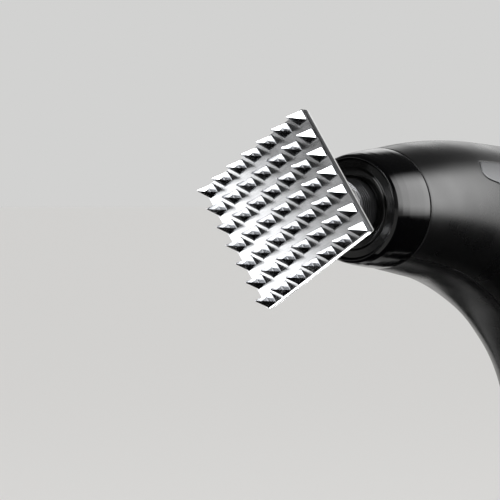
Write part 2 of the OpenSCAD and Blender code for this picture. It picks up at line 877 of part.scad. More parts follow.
// one button cap with its retaining flange
module button_cap(radius) {
    back = -panel_sink - panel_thick;
    translate([0, 0, back - 0.2]) cylinder(r = radius, h = panel_thick + 0.2 + button_proud);
    translate([0, 0, back - 1.4]) cylinder(r = radius + 0.8, h = 1.3);
}

// power button
module power_button() {
    color(rubber) in_tool() on_panel() translate([power_at, 0, 0]) button_cap(power_radius);
}

// speed button
module speed_button() {
    color(silver) in_tool() on_panel() translate([speed_at, 0, 0]) button_cap(speed_radius);
}

// light guides of the speed display
module speed_lights() {
    color(lamp) in_tool() on_panel() for (j = [-1:1])
        translate([lights_at, 3.4 * j, board_top]) cylinder(r = 0.9, h = -board_top - panel_sink);
}

// switches under the buttons
module tact_switches() {
    color(gloss) in_tool() on_panel() for (x = [power_at, speed_at])
        translate([x, 0, board_top]) {
            translate([-3, -3, 0]) cube([6, 6, 3.4]);
            cylinder(r = 1.7, h = -board_top - panel_sink - panel_thick - 1.4 - button_travel - 0.1);
        }
}

// circuit board
module circuit_board() {
    color(board) in_tool() on_panel() {
        translate([0, 0, board_top - 1.6]) linear_extrude(1.6) soft_square(34, 24, 2);
        translate([-13, -8, board_top - 4]) cube([9, 9, 2.5]);
        translate([4, -2, board_top - 5]) cube([8, 6, 3.5]);
        translate([-2, 5, board_top - 7]) cylinder(r = 2.5, h = 5.5);
    }
}

// frame of the charging port
module port_bezel() {
    color(gloss) in_tool() on_port() difference() {
        translate([-3.6, -port_half - 0.1, -port_high - 0.1])
            cube([3.6, 2 * port_half + 0.2, 2 * port_high + 0.2]);
        translate([-5, 0, -0.4]) along_axis() linear_extrude(8) rotate(90) slot_shape(4.6, 1.7);
    }
}

// charging socket
module charge_socket() {
    color(chrome) in_tool() on_port() difference() {
        translate([-7.4, 0, -0.4]) along_axis() linear_extrude(7.2) rotate(90) slot_shape(4.5, 1.6);
        translate([-6.4, 0, -0.4]) along_axis() linear_extrude(8) rotate(90) slot_shape(4.2, 1.3);
    }
    color(gloss) in_tool() on_port() translate([-7, -3.3, -0.75]) cube([5.4, 6.6, 0.7]);
}

// soft cover of the charging port
module port_cover() {
    color(rubber) in_tool() on_port() {
        translate([0.1, -port_half, -port_high]) cube([1.7, 2 * port_half, 2 * port_high - 1]);
        translate([1.1, port_half, port_high - 1]) rotate([90, 0, 0]) cylinder(r = 0.9, h = 2 * port_half);
        translate([1.1, port_half + 1, port_high - 1]) rotate([90, 0, 0])
            cylinder(r = port_pin, h = 2 * port_half + 2);
        translate([1.7, -2.5, -port_high]) cube([0.8, 5, 1]);
    }
}

left_casing();
right_casing();
nose_collar();
front_ring();
wiper_seal();
grip_pad();
left_strip();
right_strip();
bottom_cap();
foot_pad();
casing_screws();
drive_frame();
flange_screws();
guide_sleeve();
tail_sleeve();
motor_can();
motor_bell();
motor_screws();
motor_bearings();
stator();
rotor();
motor_shaft();
crank_disc();
crank_pin();
roller();
yoke();
plunger_rod();
socket_collar();
tooth_plate();
head_stem();
shank_ring();
battery_cells();
battery_holder();
cell_straps();
control_panel();
power_button();
speed_button();
speed_lights();
tact_switches();
circuit_board();
port_bezel();
charge_socket();
port_cover();
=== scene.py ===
"""Studio picture of a cordless meat tenderizer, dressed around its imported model.

Shapes are laid out in the drive axis frame: millimetres, X from the front ring to the back of the
body, Z up, with the origin where the drive axis meets the front of the ring.
"""

import json
import logging
import math
from dataclasses import dataclass, field
from enum import Enum
from typing import Sequence

import bmesh
import bpy
import numpy as np
from mathutils import Matrix, Vector


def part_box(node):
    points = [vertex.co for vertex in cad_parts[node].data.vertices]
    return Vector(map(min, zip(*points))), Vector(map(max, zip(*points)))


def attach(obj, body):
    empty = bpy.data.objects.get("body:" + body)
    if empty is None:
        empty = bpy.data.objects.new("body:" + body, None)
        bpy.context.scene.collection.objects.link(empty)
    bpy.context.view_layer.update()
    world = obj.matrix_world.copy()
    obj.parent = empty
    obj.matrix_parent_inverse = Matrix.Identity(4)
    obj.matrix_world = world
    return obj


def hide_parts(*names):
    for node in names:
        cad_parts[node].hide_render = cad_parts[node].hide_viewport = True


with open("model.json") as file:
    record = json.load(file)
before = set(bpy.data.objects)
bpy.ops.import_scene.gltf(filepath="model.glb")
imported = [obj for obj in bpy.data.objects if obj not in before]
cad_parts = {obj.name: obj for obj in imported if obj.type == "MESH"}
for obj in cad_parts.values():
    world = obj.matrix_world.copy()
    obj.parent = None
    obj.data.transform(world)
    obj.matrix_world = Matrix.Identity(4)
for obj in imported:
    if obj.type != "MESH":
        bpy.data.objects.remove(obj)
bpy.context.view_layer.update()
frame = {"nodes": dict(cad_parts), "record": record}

log = logging.getLogger("tenderizer")

MM = 0.001
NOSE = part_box("front_ring")
ORIGIN = np.array([NOSE[0].x, 0.0, (NOSE[0].z + NOSE[1].z) / 2])
DRIVE_AXIS = Matrix.Rotation(math.pi / 2, 4, "Y")
PLATE_TURN = 33.4  # degrees that the square plate is turned about the drive axis

Colour = tuple[float, float, float, float]
Pair = tuple[float, float]
Triple = tuple[float, float, float]
Rim = Sequence[Pair]
Corners = Sequence[Triple]
Net = tuple[np.ndarray, np.ndarray, np.ndarray]
Piece = bpy.types.Object
Socket = bpy.types.NodeSocket
Tree = bpy.types.NodeTree


class Side(Enum):
    """Flank of the tool, as the sign of Y."""

    LEFT = -1
    RIGHT = 1


class Line(Enum):
    """Guide line along the body that the nets of its skin follow."""

    KEEL = "keel"
    FAR_GRIP = "left edge of the soft grip"
    GRIP = "right edge of the soft grip"
    LOW = "lower border of the silver strip"
    HIGH = "upper border of the silver strip"
    CREST = "crest"


class Lit(Enum):
    """Pieces that a card of the studio shows on."""

    ALL = "all"
    HEAD = "head"
    HUB = "hub"

    def pieces(self) -> bpy.types.Collection:
        """Collection of these pieces, made on its first use."""
        return bpy.data.collections.get(self.value) or bpy.data.collections.new(self.value)


def linear(hex_code: str) -> Colour:
    """Turns an sRGB hex value into the linear colour of a shader socket.

    Args:
        hex_code: Six hex digits after a hash sign.

    Returns:
        Linear red, green and blue, with full alpha.
    """
    parts = [int(hex_code[i : i + 2], 16) / 255 for i in (1, 3, 5)]
    flat = [v / 12.92 if v <= 0.04045 else ((v + 0.055) / 1.055) ** 2.4 for v in parts]
    return (flat[0], flat[1], flat[2], 1.0)


def add(
    tree: Tree,
    kind: str,
    links: dict[str | int, Socket] | None = None,
    values: dict[str | int, object] | None = None,
    **settings: object,
) -> bpy.types.Node:
    """Adds one shader node with its settings, socket values and incoming links.

    Args:
        tree: Node tree that gets the node.
        kind: Type of the node, without its prefix.
        links: Output sockets by the name of the input that they feed.
        values: Constants by the name of their input.
        settings: Properties of the node itself.

    Returns:
        The new node.
    """
    node = tree.nodes.new("ShaderNode" + kind)
    for key, value in settings.items():
        setattr(node, key, value)
    for key, value in (values or {}).items():
        node.inputs[key].default_value = value
    for key, source in (links or {}).items():
        tree.links.new(source, node.inputs[key])
    return node


def placed(points: np.ndarray, place: Matrix | None = None) -> np.ndarray:
    """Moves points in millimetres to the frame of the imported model, in metres.

    Args:
        points: Points in the frame of a piece.
        place: Frame of the piece; the drive axis frame if left out.

    Returns:
        Points in metres.
    """
    points = np.asarray(points, float)
    if place is not None:
        matrix = np.array(place)
        points = points @ matrix[:3, :3].T + matrix[:3, 3]
    return points * MM + ORIGIN


def shade(mesh: bpy.types.Mesh, sharp: float) -> None:
    """Shades a mesh smooth and keeps edges over an angle crisp.

    Args:
        mesh: The mesh.
        sharp: Angle in degrees.
    """
    mesh.polygons.foreach_set("use_smooth", [True] * len(mesh.polygons))
    mesh.set_sharp_from_angle(angle=math.radians(sharp))
    mesh.update()


def solid(name: str, points: np.ndarray, faces: Sequence[Sequence[int]], sharp: float = 32.0) -> Piece:
    """Makes a mesh object with smooth shading that breaks at sharp edges.

    Args:
        name: Name of the piece.
        points: Vertices in metres.
        faces: Vertex indices of each face.
        sharp: Angle in degrees above which an edge stays crisp.

    Returns:
        The new object, linked to the scene.
    """
    mesh = bpy.data.meshes.new(name)
    mesh.from_pydata([tuple(p) for p in np.asarray(points)], [], [tuple(f) for f in faces])
    work = bmesh.new()
    work.from_mesh(mesh)
    bmesh.ops.remove_doubles(work, verts=work.verts, dist=1e-7)
    bmesh.ops.recalc_face_normals(work, faces=work.faces)
    work.to_mesh(mesh)
    work.free()
    shade(mesh, sharp)
    piece = bpy.data.objects.new(name, mesh)
    bpy.context.scene.collection.objects.link(piece)
    return piece


def grid_faces(rows: int, columns: int, start: int = 0, closed: bool = False) -> list[tuple[int, ...]]:
    """Quads of a grid of points.

    Args:
        rows: Number of rows of points.
        columns: Number of points in a row.
        start: Index of the first point.
        closed: Whether each row closes on itself.

    Returns:
        Faces as tuples of four indices.
    """
    faces = []
    for i in range(rows - 1):
        for j in range(columns if closed else columns - 1):
            a, b = start + i * columns, start + (i + 1) * columns
            k = (j + 1) % columns
            faces.append((a + j, a + k, b + k, b + j))
    return faces


def rounded(corners: Corners, steps: int = 5) -> list[Pair]:
    """Rounds the corners of a closed outline.

    Args:
        corners: Two coordinates and the radius of each corner.
        steps: Points in each arc, less one.

    Returns:
        Points of the rounded outline, in the same order.
    """
    out: list[Pair] = []
    for i, (x, y, radius) in enumerate(corners):
        here = Vector((x, y))
        before = Vector(corners[i - 1][:2]) - here
        after = Vector(corners[(i + 1) % len(corners)][:2]) - here
        if radius <= 0 or min(before.length, after.length) < 1e-9:
            out.append((x, y))
            continue
        a, b = before.normalized(), after.normalized()
        half = a.angle(b) / 2
        reach = min(radius / math.tan(half), before.length * 0.49, after.length * 0.49)
        r = reach * math.tan(half)
        centre = here + (a + b).normalized() * (r / math.sin(half))
        start, end = here + a * reach - centre, here + b * reach - centre
        turn = start.angle_signed(end)
        for k in range(steps + 1):
            point = centre + Matrix.Rotation(-turn * k / steps, 2) @ start
            out.append((point.x, point.y))
    return out


def circle(radius: float, steps: int = 64) -> np.ndarray:
    """Circle about the origin."""
    a = np.linspace(0, 2 * math.pi, steps, endpoint=False)
    return np.stack([radius * np.cos(a), radius * np.sin(a)], 1)


def rectangle(x: float, y: float, radius: float = 0.0) -> np.ndarray:
    """Rectangle about the origin, with round corners."""
    corners = [(i * x / 2, j * y / 2, radius) for i, j in ((-1, -1), (1, -1), (1, 1), (-1, 1))]
    return np.array(rounded(corners, 6))


def stadium(half_run: float, radius: float, steps: int = 24) -> np.ndarray:
    """Outline with round ends.

    Args:
        half_run: Half its length, along X.
        radius: Half its width.
        steps: Steps round each end.

    Returns:
        Points of the outline.
    """
    out = []
    for end, turn in ((1, 0), (-1, math.pi)):
        for k in range(steps + 1):
            a = math.pi * (k / steps - 0.5) + turn
            out.append((end * (half_run - radius) + radius * math.cos(a), radius * math.sin(a)))
    return np.array(out)


def turned(
    name: str, corners: Corners, segments: int = 160, place: Matrix = DRIVE_AXIS, sharp: float = 32.0
) -> Piece:
    """Turns a closed outline about an axis, as on a lathe.

    Args:
        name: Name of the piece.
        corners: Height along the axis, distance from it and corner radius, in millimetres.
        segments: Steps round the axis.
        place: Frame whose Z is the axis.
        sharp: Angle in degrees above which an edge stays crisp.

    Returns:
        The new object.
    """
    outline = rounded(corners)
    rows = [
        np.column_stack([circle(radius, segments), np.full(segments, height)]) for height, radius in outline
    ]
    faces = grid_faces(len(outline), segments, closed=True)
    last = (len(outline) - 1) * segments
    faces += [(last + j, last + (j + 1) % segments, (j + 1) % segments, j) for j in range(segments)]
    return solid(name, placed(np.concatenate(rows), place), faces, sharp)


def stacked(
    name: str, layers: Sequence[tuple[np.ndarray, float]], place: Matrix, sharp: float = 32.0
) -> Piece:
    """Closes a stack of outlines with equal counts of points into one solid.

    Args:
        name: Name of the piece.
        layers: Outline and height of each layer, in millimetres.
        place: Frame of the outlines, with Z up the stack.
        sharp: Angle in degrees above which an edge stays crisp.

    Returns:
        The new object.
    """
    count = len(layers[0][0])
    rows = [np.column_stack([flat, np.full(count, height)]) for flat, height in layers]
    faces = grid_faces(len(layers), count, closed=True)
    faces += [tuple(range(count)), tuple(range((len(layers) - 1) * count, len(layers) * count))]
    return solid(name, placed(np.concatenate(rows), place), faces, sharp)


def joined(main: Piece, others: Sequence[Piece]) -> Piece:
    """Adds the meshes of other objects to one object and removes them.

    Args:
        main: Object that gets the meshes.
        others: Objects that give them.

    Returns:
        The first object.
    """
    work = bmesh.new()
    work.from_mesh(main.data)
    for other in others:
        work.from_mesh(other.data)
        bpy.data.objects.remove(other)
    work.to_mesh(main.data)
    work.free()
    return main


def cut(piece: Piece, tools: Sequence[Piece], sharp: float = 32.0) -> None:
    """Cuts tools out of a piece, removes them and shades the result.

    Args:
        piece: Piece that is cut.
        tools: Closed solids, clear of each other, that are taken away.
        sharp: Angle in degrees above which an edge stays crisp.
    """
    tool = joined(tools[0], tools[1:])
    step = piece.modifiers.new("cut", "BOOLEAN")
    step.operation, step.solver, step.object = "DIFFERENCE", "EXACT", tool
    graph = bpy.context.evaluated_depsgraph_get()
    mesh = bpy.data.meshes.new_from_object(piece.evaluated_get(graph))
    piece.modifiers.clear()
    old, piece.data = piece.data, mesh
    bpy.data.meshes.remove(old)
    bpy.data.objects.remove(tool)
    shade(mesh, sharp)


@dataclass(frozen=True)
class Pattern:
    """Grains of one real size in millimetres, pressed into a surface, shading it, or both.

    height is that of the relief in millimetres, shade the factor on the colour where a grain is
    lightest, stretch how much longer it is along each axis, and turn their angle about X.
    """

    size: float
    detail: float = 2.0
    height: float = 0.0
    shade: float = 1.0
    stretch: Triple = (1.0, 1.0, 1.0)
    turn: float = 0.0

    def draw(self, tree: Tree, place: Socket, low: float = 0.0, high: float = 1.0) -> Socket:
        """Draws the pattern.

        Args:
            tree: Node tree of the material.
            place: Coordinates in metres.
            low: Value of the darkest grains.
            high: Value of the lightest grains.

        Returns:
            Socket with its value.
        """
        lay = {"Scale": self.stretch, "Rotation": (math.radians(self.turn), 0.0, 0.0)}
        moved = add(tree, "Mapping", {"Vector": place}, lay, vector_type="TEXTURE")
        values = {"Scale": 1 / (self.size * MM), "Detail": self.detail}
        noise = add(tree, "TexNoise", {"Vector": moved.outputs[0]}, values)
        span = {"From Min": 0.3, "From Max": 0.7, "To Min": low, "To Max": high}
        return add(tree, "MapRange", {"Value": noise.outputs[0]}, span).outputs[0]


@dataclass(frozen=True)
class WireTurns(Pattern):
    """Ridges of wire laid turn by turn."""

    def draw(self, tree: Tree, place: Socket, low: float = 0.0, high: float = 1.0) -> Socket:
        """Draws bands round the coil, which are a sixth of the size apart."""
        values = {"Scale": 1 / (self.size * MM), "Distortion": 0.4}
        return add(tree, "TexWave", {"Vector": place}, values, bands_direction="Z").outputs["Fac"]


@dataclass(frozen=True)
class CopperTracks(Pattern):
    """Tracks of a circuit board that run both ways."""

    def draw(self, tree: Tree, place: Socket, low: float = 0.0, high: float = 1.0) -> Socket:
        """Draws the tracks as the joints of a brick pattern."""
        values = {"Scale": 1 / (self.size * MM), "Mortar Size": 0.03}
        return add(tree, "TexBrick", {"Vector": place}, values).outputs["Fac"]


@dataclass(frozen=True)
class Finish:
    """Surface of one real material, with the patches of roughness that handling leaves.

    edge is a small round on its edges in millimetres, wear how much smoother and rougher the
    patches are, and patterns lie one over the other.
    """

    name: str
    colour: str
    roughness: float
    metallic: float = 0.0
    ior: float = 1.5
    transmission: float = 0.0
    edge: float = 0.0
    wear: Pair = (0.03, 0.03)
    patches: Pattern = Pattern(14.0, 4.0)
    patterns: tuple[Pattern, ...] = ()

    def material(self) -> bpy.types.Material:
        """Makes the material on its first use.

        Returns:
            The material.
        """
        made = bpy.data.materials.get(self.name)
        if made:
            return made
        made = bpy.data.materials.new(self.name)
        made.use_nodes = True
        tree = made.node_tree
        tree.nodes.clear()
        base = linear(self.colour)
        values = {"Base Color": base, "Metallic": self.metallic, "IOR": self.ior}
        values["Transmission Weight"] = self.transmission
        shader = add(tree, "BsdfPrincipled", values=values)
        add(tree, "OutputMaterial", {"Surface": shader.outputs["BSDF"]})
        place = add(tree, "TexCoord").outputs["Object"]
        low, high = max(0.02, self.roughness - self.wear[0]), self.roughness + self.wear[1]
        tree.links.new(self.patches.draw(tree, place, low, high), shader.inputs["Roughness"])
        normal = None
        if self.edge:
            normal = add(tree, "Bevel", values={"Radius": self.edge * MM}, samples=4).outputs[0]
        for pattern in self.patterns:
            share = pattern.draw(tree, place)
            if pattern.height:
                links = {"Height": share} | ({"Normal": normal} if normal else {})
                values = {"Strength": 1.0, "Distance": pattern.height * MM}
                normal = add(tree, "Bump", links, values).outputs[0]
            if pattern.shade != 1.0:
                ramp = add(tree, "ValToRGB", {"Fac": share})
                ramp.color_ramp.elements[0].color = base
                ramp.color_ramp.elements[1].color = (*(min(1.0, v * pattern.shade) for v in base[:3]), 1.0)
                tree.links.new(ramp.outputs["Color"], shader.inputs["Base Color"])
        if normal:
            tree.links.new(normal, shader.inputs["Normal"])
        return made


@dataclass(frozen=True)
class GlossPlastic(Finish):
    """Plastic from a mirror-polished mould: sharp reflections, a slow wave and fine hairlines.

    The hairlines are as wide as the render needs to show them.
    """

    wear: Pair = (0.02, 0.05)
    patches: Pattern = Pattern(11.0, 5.0)
    patterns: tuple[Pattern, ...] = (
        Pattern(6.0, height=0.003),
        Pattern(0.25, 1.0, 0.0002, stretch=(24.0, 1.0, 1.0), turn=20.0),
        Pattern(20.0, shade=1.15),
    )


@dataclass(frozen=True)
class SoftRubber(Finish):
    """Moulded silicone, rubber or elastomer: a fine leathery grain and a thin dust in patches."""

    wear: Pair = (0.05, 0.05)
    patterns: tuple[Pattern, ...] = (Pattern(0.35, 3.0, 0.006), Pattern(7.0, 6.0, shade=1.6))


@dataclass(frozen=True)
class LinedSteel(Finish):
    """Stainless steel with fine lines that run one way and streak its reflections.

    The lines are 0.3 mm wide, wider than the real ones so that they show.
    """

    metallic: float = 1.0
    wear: Pair = (0.03, 0.05)
    patches: Pattern = Pattern(6.0, 4.0)
    patterns: tuple[Pattern, ...] = (
        Pattern(0.3, 2.0, 0.002, 1.0, (1.0, 18.0, 1.0), -PLATE_TURN),
        Pattern(0.5, 3.0, 0.0, 0.86, (1.0, 18.0, 1.0), -PLATE_TURN),
    )


@dataclass(frozen=True)
class WorkedMetal(Finish):
    """Turned, cast, plated or sintered metal, whose grain is darker in colour where its relief stands
    highest.
    """

    metallic: float = 1.0
    wear: Pair = (0.08, 0.08)
    patterns: tuple[Pattern, ...] = (Pattern(0.6, 4.0, 0.01, 0.7),)


# Stainless steel, buffed after milling: each facet of a tooth mirrors one light or the dark.
STEEL_TEETH = LinedSteel("polished_stainless_steel", "#b8b9bb", 0.07)
# Stainless steel, brushed along the rows: the field between the teeth stays soft and even.
STEEL_PLATE = LinedSteel("brushed_stainless_steel", "#b4b5b7", 0.19)
# Stainless steel as milled, in a colour far darker than the plate's as painted shade: the rim of the plate
# reads as a dark line.
STEEL_SIDE_PAINTED_SHADE = LinedSteel("milled_steel_painted_shade", "#3a3b3d", 0.16)
# Stainless steel, chamfered, in a colour lighter than the plate's as a painted highlight: a bright line
# beside the dark rim.
STEEL_CHAMFER_PAINTED_HIGHLIGHT = LinedSteel("chamfered_steel_painted_highlight", "#eeeeef", 0.16)
# Stainless steel off the lathe, in a colour lighter than the plate's as a painted highlight on the hub: rings
# round the hub spread each light into a crescent.
RINGS = (1.0, 40.0, 40.0)
TURNED = (Pattern(0.3, 2.0, 0.002, stretch=RINGS), Pattern(0.5, 3.0, shade=0.86, stretch=RINGS))
STEEL_HUB = LinedSteel("turned_steel_painted_highlight", "#dcdcdd", 0.22, patterns=TURNED)
# Aluminium, turned and dyed black: a hard skin that still glints like metal on its ribs.
BLACK_ANODISED = WorkedMetal(
    "black_anodised_aluminium", "#464648", 0.2, 0.6, patterns=(Pattern(0.4, 4.0, 0.002, 0.7),)
)
# ABS from a spark-eroded mould: near black, with long soft highlights. Its grain is drawn twice as
# coarse as the real one so that it shows, over the flow of the plastic and cloudy handling marks.
SATIN_ABS = Finish(
    "satin_moulded_abs",
    "#070708",
    0.29,
    edge=0.3,
    wear=(0.035, 0.035),
    patterns=(Pattern(0.5, 3.0, 0.003), Pattern(9.0, height=0.005), Pattern(25.0, 4.0, shade=1.12)),
)
# ABS from a polished mould: piano black with crisp highlights.
GLOSS_ABS = GlossPlastic("gloss_moulded_abs", "#030304", 0.1, ior=1.42)
# Silicone, moulded: dull black that hardly glints.
SILICONE = SoftRubber("moulded_silicone", "#070707", 0.34, ior=1.38)
# Nitrile rubber from a polished mould: darker than the collar round it, with a blurred shine.
DUST = Pattern(7.0, 6.0, shade=1.6)
RING_RUBBER = SoftRubber(
    "polished_nitrile_ring", "#050505", 0.17, ior=1.42, patterns=(Pattern(0.35, 3.0, 0.001), DUST)
)
# Thermoplastic elastomer, moulded on: a leathery grain that greys the highlights.
GRIP_TPE = SoftRubber(
    "soft_touch_elastomer", "#0c0c0d", 0.24, ior=1.46, patterns=(Pattern(0.8, 3.0, 0.01), DUST)
)
# Silver paint on plastic, sprayed: mid grey with a soft sparkle. Its flakes are drawn at 0.25 mm,
# coarser than the real ones so that they show.
SILVER_PAINT = Finish(
    "satin_silver_paint",
    "#6c6d6f",
    0.42,
    metallic=0.3,
    edge=0.2,
    wear=(0.04, 0.04),
    patterns=(Pattern(0.25, 1.0, 0.0015, 0.88),),
)

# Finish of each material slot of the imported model.
CAD_FINISHES: dict[str, Finish] = {
    "polished_steel": STEEL_PLATE,
    "black_anodised": BLACK_ANODISED,
    "satin_shell": SATIN_ABS,
    "gloss_shell": GLOSS_ABS,
    "soft_rubber": SILICONE,
    "silver_trim": SILVER_PAINT,
    # Wool felt, pressed: no shine at all, and a fibrous surface.
    "felt": SoftRubber("pressed_wool_felt", "#3b3a38", 0.95, patterns=(Pattern(0.25, 3.0, 0.08), DUST)),
    # Steel, zinc plated: bright bluish grey, slightly mottled.
    "steel": WorkedMetal("zinc_plated_steel", "#b9babd", 0.3, patterns=(Pattern(0.8, 4.0, 0.004, 0.85),)),
    # Aluminium, die cast: matt grey with a sandy skin.
    "cast_alloy": WorkedMetal("die_cast_aluminium", "#a3a4a6", 0.5, patterns=(Pattern(0.9, 4.0, 0.03, 0.7),)),
    # Bronze, sintered: dull gold with open pores.
    "bronze": WorkedMetal("sintered_bronze", "#a8824c", 0.45, patterns=(Pattern(0.5, 4.0, 0.02, 0.7),)),
    # Nickel, rolled into strip: smooth, with a yellowish shine.
    "nickel": WorkedMetal("nickel_strip", "#c2bdb2", 0.25, patterns=(Pattern(1.2, 4.0, 0.004, 0.9),)),
    # Copper wire, enamelled and wound: warm ridges 0.5 mm apart, each with a painted highlight, a band of
    # lighter copper colour.
    "copper_winding": Finish(
        "copper_wire_painted_highlights", "#a4542c", 0.3, 0.9, wear=(0.05, 0.05),
        patterns=(WireTurns(3.0, 0, 0.15, 1.5),),
    ),
    # PVC, shrunk on: a smooth blue skin over the cells.
    "cell_sleeve": GlossPlastic("shrink_sleeve", "#2c5b86", 0.35),
    # Epoxy solder mask, printed: glassy green, with the tracks showing through it 6 mm apart.
    "board_green": Finish(
        "solder_mask_board", "#0f4a2b", 0.35, wear=(0.05, 0.05), patterns=(CopperTracks(6.0, shade=1.8),)
    ),
    # Polycarbonate rod, frosted at its end: milky, and lets some light through.
    "light_guide": Finish(
        "frosted_polycarbonate", "#e6ebe8", 0.4, ior=1.585, transmission=0.5, wear=(0.1, 0.1)
    ),
}


def finished(piece: Piece, finish: Finish, body: str, slot: str, *nodes: str) -> Piece:
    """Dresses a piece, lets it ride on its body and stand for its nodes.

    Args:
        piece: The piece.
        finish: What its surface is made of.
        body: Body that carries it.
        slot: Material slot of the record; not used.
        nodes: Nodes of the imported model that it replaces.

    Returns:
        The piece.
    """
    piece.data.materials.clear()
    piece.data.materials.append(finish.material())
    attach(piece, body)
    if nodes:
        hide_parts(*nodes)
    log.info("%s: %s on %s, %d faces", piece.name, finish.name, body, len(piece.data.polygons))
    return piece


def ease(t: np.ndarray, start: float, stop: float) -> np.ndarray:
    """Soft step from 0 to 1 between two values."""
    k = np.clip((np.asarray(t, float) - start) / (stop - start), 0.0, 1.0)
    return k * k * (3 - 2 * k)


def run(start: np.ndarray, stop: np.ndarray, count: int) -> list[np.ndarray]:
    """Lines between two lines, with both ends left out."""
    return [start + (stop - start) * k / count for k in range(1, count)]


@dataclass(frozen=True)
class Column:
    """Line of a net along the body, on a guide line or a share of the way to the next one.

    Offsets are in millimetres. strip_height is 0 to 1 across the silver strip, grip and strip are
    how far the line lies in each recess, and out is its distance out of the skin.
    """

    line: Line
    offset: float
    next_line: Line | None = None
    next_offset: float = 0.0
    share: float = 0.0
    strip_height: float = 0.0
    grip: float = 0.0
    strip: float = 0.0
    out: float = 0.0


@dataclass
class BodyLoft:
    """Skin of the pistol body, lofted from the round front over the bend to the foot of the grip.

    A share runs from 0 at the seam of the nose to 1 at the foot, and an angle from 0 on the keel
    over 90 on the right flank to 180 on the crest.
    """

    seam_x: float = 21.2
    seam_radius: float = 23.35
    crest_height: float = 27.2
    body_half: float = 26.8
    body_back: float = 190.5
    grip_half: float = 21.5
    grip_drop: float = 158.0
    grip_wrap: float = 37.0
    grip_waist: float = 0.45
    grip_spread: float = 1.1
    grip_start: float = 0.001
    grip_stop: float = 0.9985
    strip_start: float = 0.1705
    strip_stop: float = 0.5
    strip_low: float = 111.5
    strip_high: float = 132.5
    strip_cuts: Triple = (0.04, 0.008, 0.032)
    wall: float = 2.5
    panel_share: float = 0.59
    panel_tilt: float = 52.0
    port_deep: float = 2.2
    port_height: float = 18.0
    stations: np.ndarray = field(init=False)

    def __post_init__(self) -> None:
        """Lays out the twelve sections: crest x, z, keel x, z, half width, squareness."""
        drop, wide, tall = self.grip_drop, self.body_half, self.crest_height
        shares = [
            (0.0, self.seam_radius, 0.0, -self.seam_radius, self.seam_radius, 2.0),
            (0.123, tall * 0.951, 0.099, -26.05, wide * 0.935, 2.05),
            (0.265, tall, 0.217, -29.4, wide * 0.978, 2.15),
            (0.418, tall * 0.975, 0.336, -35.3, wide, 2.2),
            (0.572, tall * 0.9, 0.448, -44.0, wide * 0.989, 2.2),
            (0.719, tall * 0.703, 0.548, -55.4, wide * 0.951, 2.2),
            (0.861, 7.0, 0.628, -0.434 * drop, wide * 0.896, 2.2),
            (0.956, -0.114 * drop, 0.69, -0.532 * drop, self.grip_half * 1.06, 2.2),
            (0.994, -0.329 * drop, 0.734, -0.652 * drop, self.grip_half * 1.02, 2.2),
            (1.0, -0.557 * drop, 0.752, -0.778 * drop, self.grip_half, 2.2),
            (0.997, -0.778 * drop, 0.758, -0.892 * drop, self.grip_half, 2.2),
            (0.994, -drop, 0.761, -drop, self.grip_half, 2.2),
        ]
        x, span = self.seam_x, self.body_back - self.seam_x
        self.stations = np.array(
            [(x + cx * span, cz, x + kx * span, kz, w, n) for cx, cz, kx, kz, w, n in shares]
        )

    def row(self, t: np.ndarray) -> np.ndarray:
        """Finds the section at any share, with a smooth spline between the twelve.

        Args:
            t: Shares.

        Returns:
            Values of the section, one set for each share.
        """
        last = len(self.stations) - 1
        s = np.clip(np.asarray(t, float), 0.0, 1.0) * last
        i = np.minimum(np.floor(s).astype(int), last - 1)
        k = (s - i)[..., None]
        a, b, c, d = (self.stations[np.clip(i + n, 0, last)] for n in (-1, 0, 1, 2))
        square, cube = 2 * a - 5 * b + 4 * c - d, 3 * b - a - 3 * c + d
        return 0.5 * (2 * b + (c - a) * k + square * k**2 + cube * k**3)

    def skin(self, t: np.ndarray, angle: np.ndarray, out: np.ndarray | float = 0.0) -> np.ndarray:
        """Finds points of the skin.

        Args:
            t: Shares.
            angle: Angles in degrees.
            out: Distance out of the skin in millimetres.

        Returns:
            Points in the drive axis frame.
        """
        t, angle, out = np.broadcast_arrays(*(np.asarray(given, float) for given in (t, angle, out)))
        s = self.row(t)
        dx, dz = s[..., 0] - s[..., 2], s[..., 1] - s[..., 3]
        length = np.hypot(dx, dz)
        power = 2 / s[..., 5]
        cosine, sine = np.cos(np.radians(angle)), np.sin(np.radians(angle))
        lift = (length / 2 + out) * np.sign(cosine) * np.abs(cosine) ** power
        reach = (s[..., 4] + out) * np.sign(sine) * np.abs(sine) ** power
        x = (s[..., 0] + s[..., 2]) / 2 - dx / length * lift
        z = (s[..., 1] + s[..., 3]) / 2 - dz / length * lift
        return np.stack([x, reach, z], -1)

    def core(self, t: float, height: float) -> np.ndarray:
        """Point of the middle plane, at a height from -1 on the keel to 1 on the crest."""
        x, z, low_x, low_z = self.row(np.array(t))[:4]
        across, up = (x - low_x) / 2 * height, (z - low_z) / 2 * height
        return np.array([(x + low_x) / 2 + across, 0.0, (z + low_z) / 2 + up])

    def post_end(self, t: float, height: float, radius: float) -> float:
        """Finds how far a screw post reaches out from the middle plane.

        Args:
            t: Share of its foot.
            height: Height of its foot, as in core.
            radius: Radius of the post.

        Returns:
            Distance in millimetres.
        """
        s = self.row(np.array(t))
        half = math.hypot(s[0] - s[2], s[1] - s[3]) / 2
        high = min(0.97, abs(height) + radius / half)
        return float(s[4] * (1 - high ** s[5]) ** (1 / s[5]) - 0.7)

    def grip_edge(self, t: np.ndarray) -> np.ndarray:
        """Angle at which the soft grip ends: a waist before the bend, then wide on the handle."""
        girth = 1 - self.grip_waist * ease(t, 0.0, 0.5) + self.grip_spread * ease(t, 0.36, 0.7)
        return self.grip_wrap * girth

    def strip_ends(self, q: np.ndarray) -> tuple[np.ndarray, np.ndarray]:
        """Shares at which a strip starts and ends, by its height 0 to 1, with cut-back corners."""
        a, b, c = self.strip_cuts
        return self.strip_start + a * (1 - q) ** 7 + b * q**4, self.strip_stop - c * q**3

